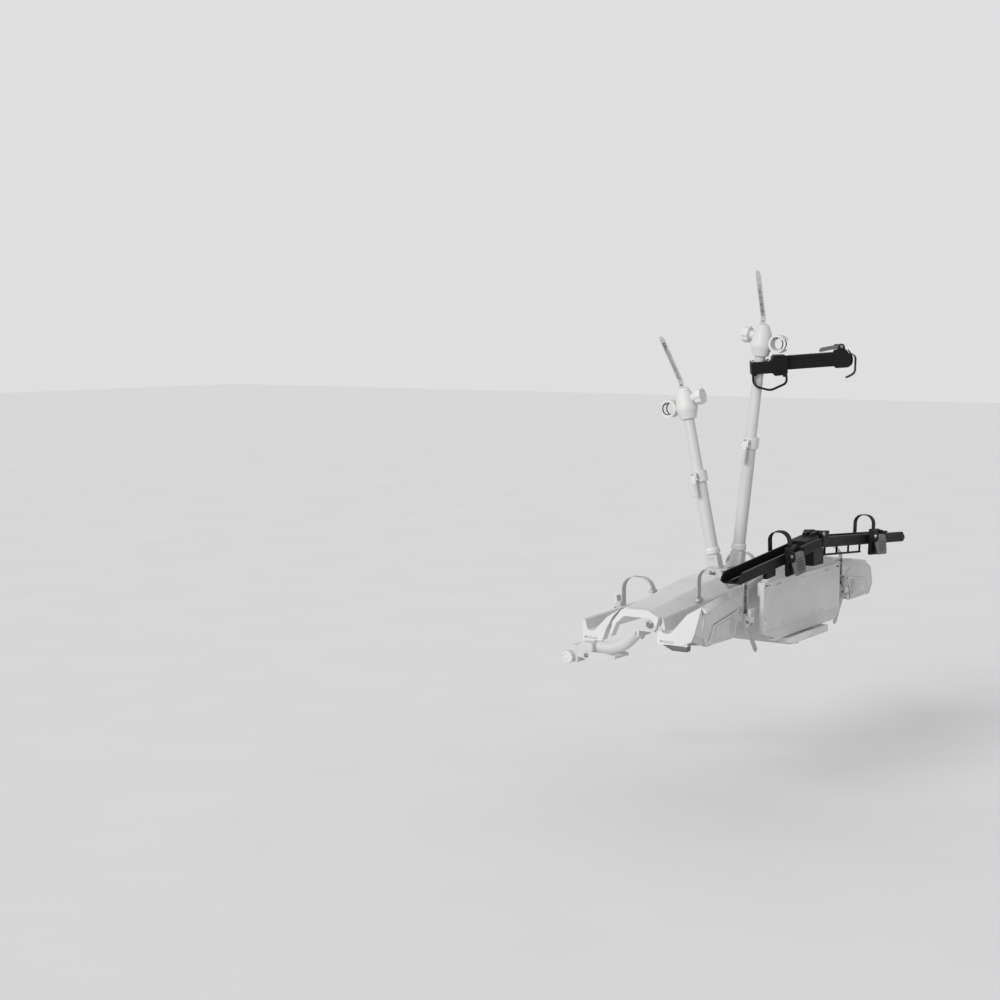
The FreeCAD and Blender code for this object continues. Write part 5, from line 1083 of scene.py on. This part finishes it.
class RACK_OT_arm_trim(bpy.types.Operator):
    """Grip ribs, strap loop, seat pad, cam button and hook teeth of the frame arm"""
    bl_idname = "rack.arm_trim"
    bl_label = "Arm Trim"

    def execute(self, context):
        place = arm_frame()
        ribs = []
        for count in range(6):
            x = 48 + 6.5 * count
            high = 28.9 - 0.05 * (x - 41)
            low = -41 + 0.04 * (x - 41)
            ribs.append(framed("rib", at_x(x, (
                (-34, low + 5), (-29, low), (29, low), (34, low + 5), (34, high - 6), (29, high),
                (-29, high), (-34, high - 6))), 2.2, mm(2.8, 0, 0), 0.6))
        fit(joined("grip_ribs", ribs), "arm_clamp", "black_plastic", place)
        loop = band("grip_loop", rounded([
            (-22, -26, -29), (-22, -26, -66, 24), (30, -26, -84, 34), (82, -26, -64, 14), (82, -26, -38)], 6),
            mm(0, 15, 0), 6.5, 1.4)
        fit(loop, "arm_clamp", "black_plastic", place)
        feet = [block("foot", (x - 7, -34, z - 9), (x + 7, -18, z), 1.6, 3)
                for x, z in ((-20.5, -27), (80.5, -36))]
        fit(joined("grip_loop_feet", feet), "arm_clamp", "black_plastic", place)
        steel("clamp_bolts", "arm_clamp", [
            bolt(mm(x, y, 10), (0, 0, 1), 5.5, 5) for x in (-23, 30) for y in (-20, 20)], place)
        lines = [block("line", (98, y, z), (266, y + 1.6, z + 2.4), 0.5, 1)
                 for z in (-14, -1.2, 11.6) for y in (-15.8, 14.2)]
        fit(joined("bar_lines", lines), "arm_bar", "black_plastic", place)
        pad = plate("seat_pad", at_y(-14, (
            (302, -26), (308.4, -14), (309.6, 0), (306, 14), (298, 28), (295.4, 27), (303, 12), (306, 0),
            (305, -13), (299, -24.6))), mm(0, 28, 0), 0.8)
        fit(pad, "arm_bar", "black_plastic", place)
        line = rounded([(281, 0, 13.6), (323.6, 0, 17.8, 19), (317.4, 0, -54, 23), (286, 0, -67)])
        teeth = toothed("hook_teeth", stations(line, 16, TOOTH_STEP, 3), 13, 3.2, 1.1,
                        lambda spot, along: along.cross(Vector((0, -1, 0))) * -1)
        fit(teeth, "arm_bar", "black_plastic", place)
        steel("arm_caps", "arm_bar", [
            bolt(mm(274, way * 14.4, 41), (0, way, 0), 5, 1.8, 20) for way in (-1, 1)], place)
        ribs = [block("rib", (206 + 7 * count, -8.4, 38.4 + 0.9 * count),
                      (209.4 + 7 * count, 8.4, 40.8 + count), 0.9) for count in range(5)]
        fit(joined("arm_lever_ribs", ribs), "arm_lever", "grey_lever", place)
        button = turned("arm_button", [(0, 0), (7.4, 0), (7.4, 1.6), (6.2, 2.8), (0, 3)], 28)
        fit(button, "arm_lever", "black_plastic", place @ Matrix.Translation(mm(258, 0, 46.2)))
        return {"FINISHED"}


class RACK_OT_stage(bpy.types.Operator):
    """Make the floor, the lamps and the camera"""
    bl_idname = "rack.stage"
    bl_label = "Stage"

    def execute(self, context):
        view = context.scene.rack_view
        clear_selection()
        bpy.ops.mesh.primitive_plane_add(size=60, location=(0, 0, view.floor))
        floor = context.object
        floor.name = "stage_floor"
        made = Nodes("floor_paper")
        made.tint(made.noise(2, 2), "Base Color", [(0.3, (0.78, 0.78, 0.785)), (0.7, (0.8, 0.8, 0.8))])
        made.shader.inputs["Roughness"].default_value = 0.9
        floor.data.materials.append(made.material)

        world = context.scene.world or bpy.data.worlds.new("studio")
        context.scene.world = world
        world.use_nodes = True
        tree = world.node_tree
        tree.nodes.clear()
        out, mix, soft, seen, path, glossy, clear = [tree.nodes.new("ShaderNode" + kind) for kind in (
            "OutputWorld", "MixShader", "Background", "Background", "LightPath", "Math", "Math")]
        soft.inputs["Color"].default_value = (1, 1, 1, 1)
        soft.inputs["Strength"].default_value = view.soft_light
        seen.inputs["Color"].default_value = (0.74, 0.74, 0.745, 1)
        seen.inputs["Strength"].default_value = 1.0
        glossy.operation = clear.operation = "MAXIMUM"
        for source, output, target, entry in (
                (path, "Is Camera Ray", glossy, 0), (path, "Is Glossy Ray", glossy, 1),
                (glossy, 0, clear, 0), (path, "Is Transmission Ray", clear, 1),
                (clear, 0, mix, "Fac"), (soft, 0, mix, 1), (seen, 0, mix, 2), (mix, 0, out, "Surface")):
            tree.links.new(source.outputs[output], target.inputs[entry])

        sun_data = bpy.data.lights.new("lamp_side", "SUN")
        sun_data.energy = view.side_light
        sun_data.angle = math.radians(28)
        sun = bpy.data.objects.new("lamp_side", sun_data)
        context.scene.collection.objects.link(sun)
        sun.rotation_euler = Vector((0.9, -0.12, -0.42)).to_track_quat("-Z", "Y").to_euler()

        camera_data = bpy.data.cameras.new("camera")
        camera_data.lens = view.lens
        camera_data.sensor_width = 36
        camera_data.clip_end = 200
        camera = bpy.data.objects.new("camera", camera_data)
        context.scene.collection.objects.link(camera)
        camera.location = view.place
        look = Vector((
            math.cos(view.pitch) * math.cos(view.yaw),
            math.cos(view.pitch) * math.sin(view.yaw),
            math.sin(view.pitch)))
        camera.rotation_euler = look.to_track_quat("-Z", "Y").to_euler()
        context.scene.camera = camera
        context.scene.view_settings.view_transform = "Standard"
        return {"FINISHED"}


class RACK_PT_panel(bpy.types.Panel):
    """Lists the steps that dress the rack"""
    bl_label = "Bike Rack"
    bl_idname = "RACK_PT_panel"
    bl_space_type = "VIEW_3D"
    bl_region_type = "UI"
    bl_category = "Bike Rack"

    def draw(self, context):
        for name in ("shell", "metal", "strap", "rail", "lever", "grain"):
            self.layout.prop(context.scene.rack_paint, name)
        for operator in STEPS:
            self.layout.operator(operator.bl_idname)


STEPS = (
    RACK_OT_finishes,
    RACK_OT_wheel_straps,
    RACK_OT_lights,
    RACK_OT_plate_holder,
    RACK_OT_hood_trim,
    RACK_OT_pedal_trim,
    RACK_OT_deck_trim,
    RACK_OT_coupling_trim,
    RACK_OT_mast_trim,
    RACK_OT_rail_trim,
    RACK_OT_arm_trim,
    RACK_OT_stage,
)
CLASSES = (RackPaint, RackView) + STEPS + (RACK_PT_panel,)


def register():
    for item in CLASSES:
        bpy.utils.register_class(item)
    bpy.types.Scene.rack_paint = PointerProperty(type=RackPaint)
    bpy.types.Scene.rack_view = PointerProperty(type=RackView)


def unregister():
    del bpy.types.Scene.rack_view
    del bpy.types.Scene.rack_paint
    for item in reversed(CLASSES):
        bpy.utils.unregister_class(item)


def main():
    register()
    for operator in STEPS:
        group, name = operator.bl_idname.split(".")
        getattr(getattr(bpy.ops, group), name)()


if __name__ == "__main__":
    main()
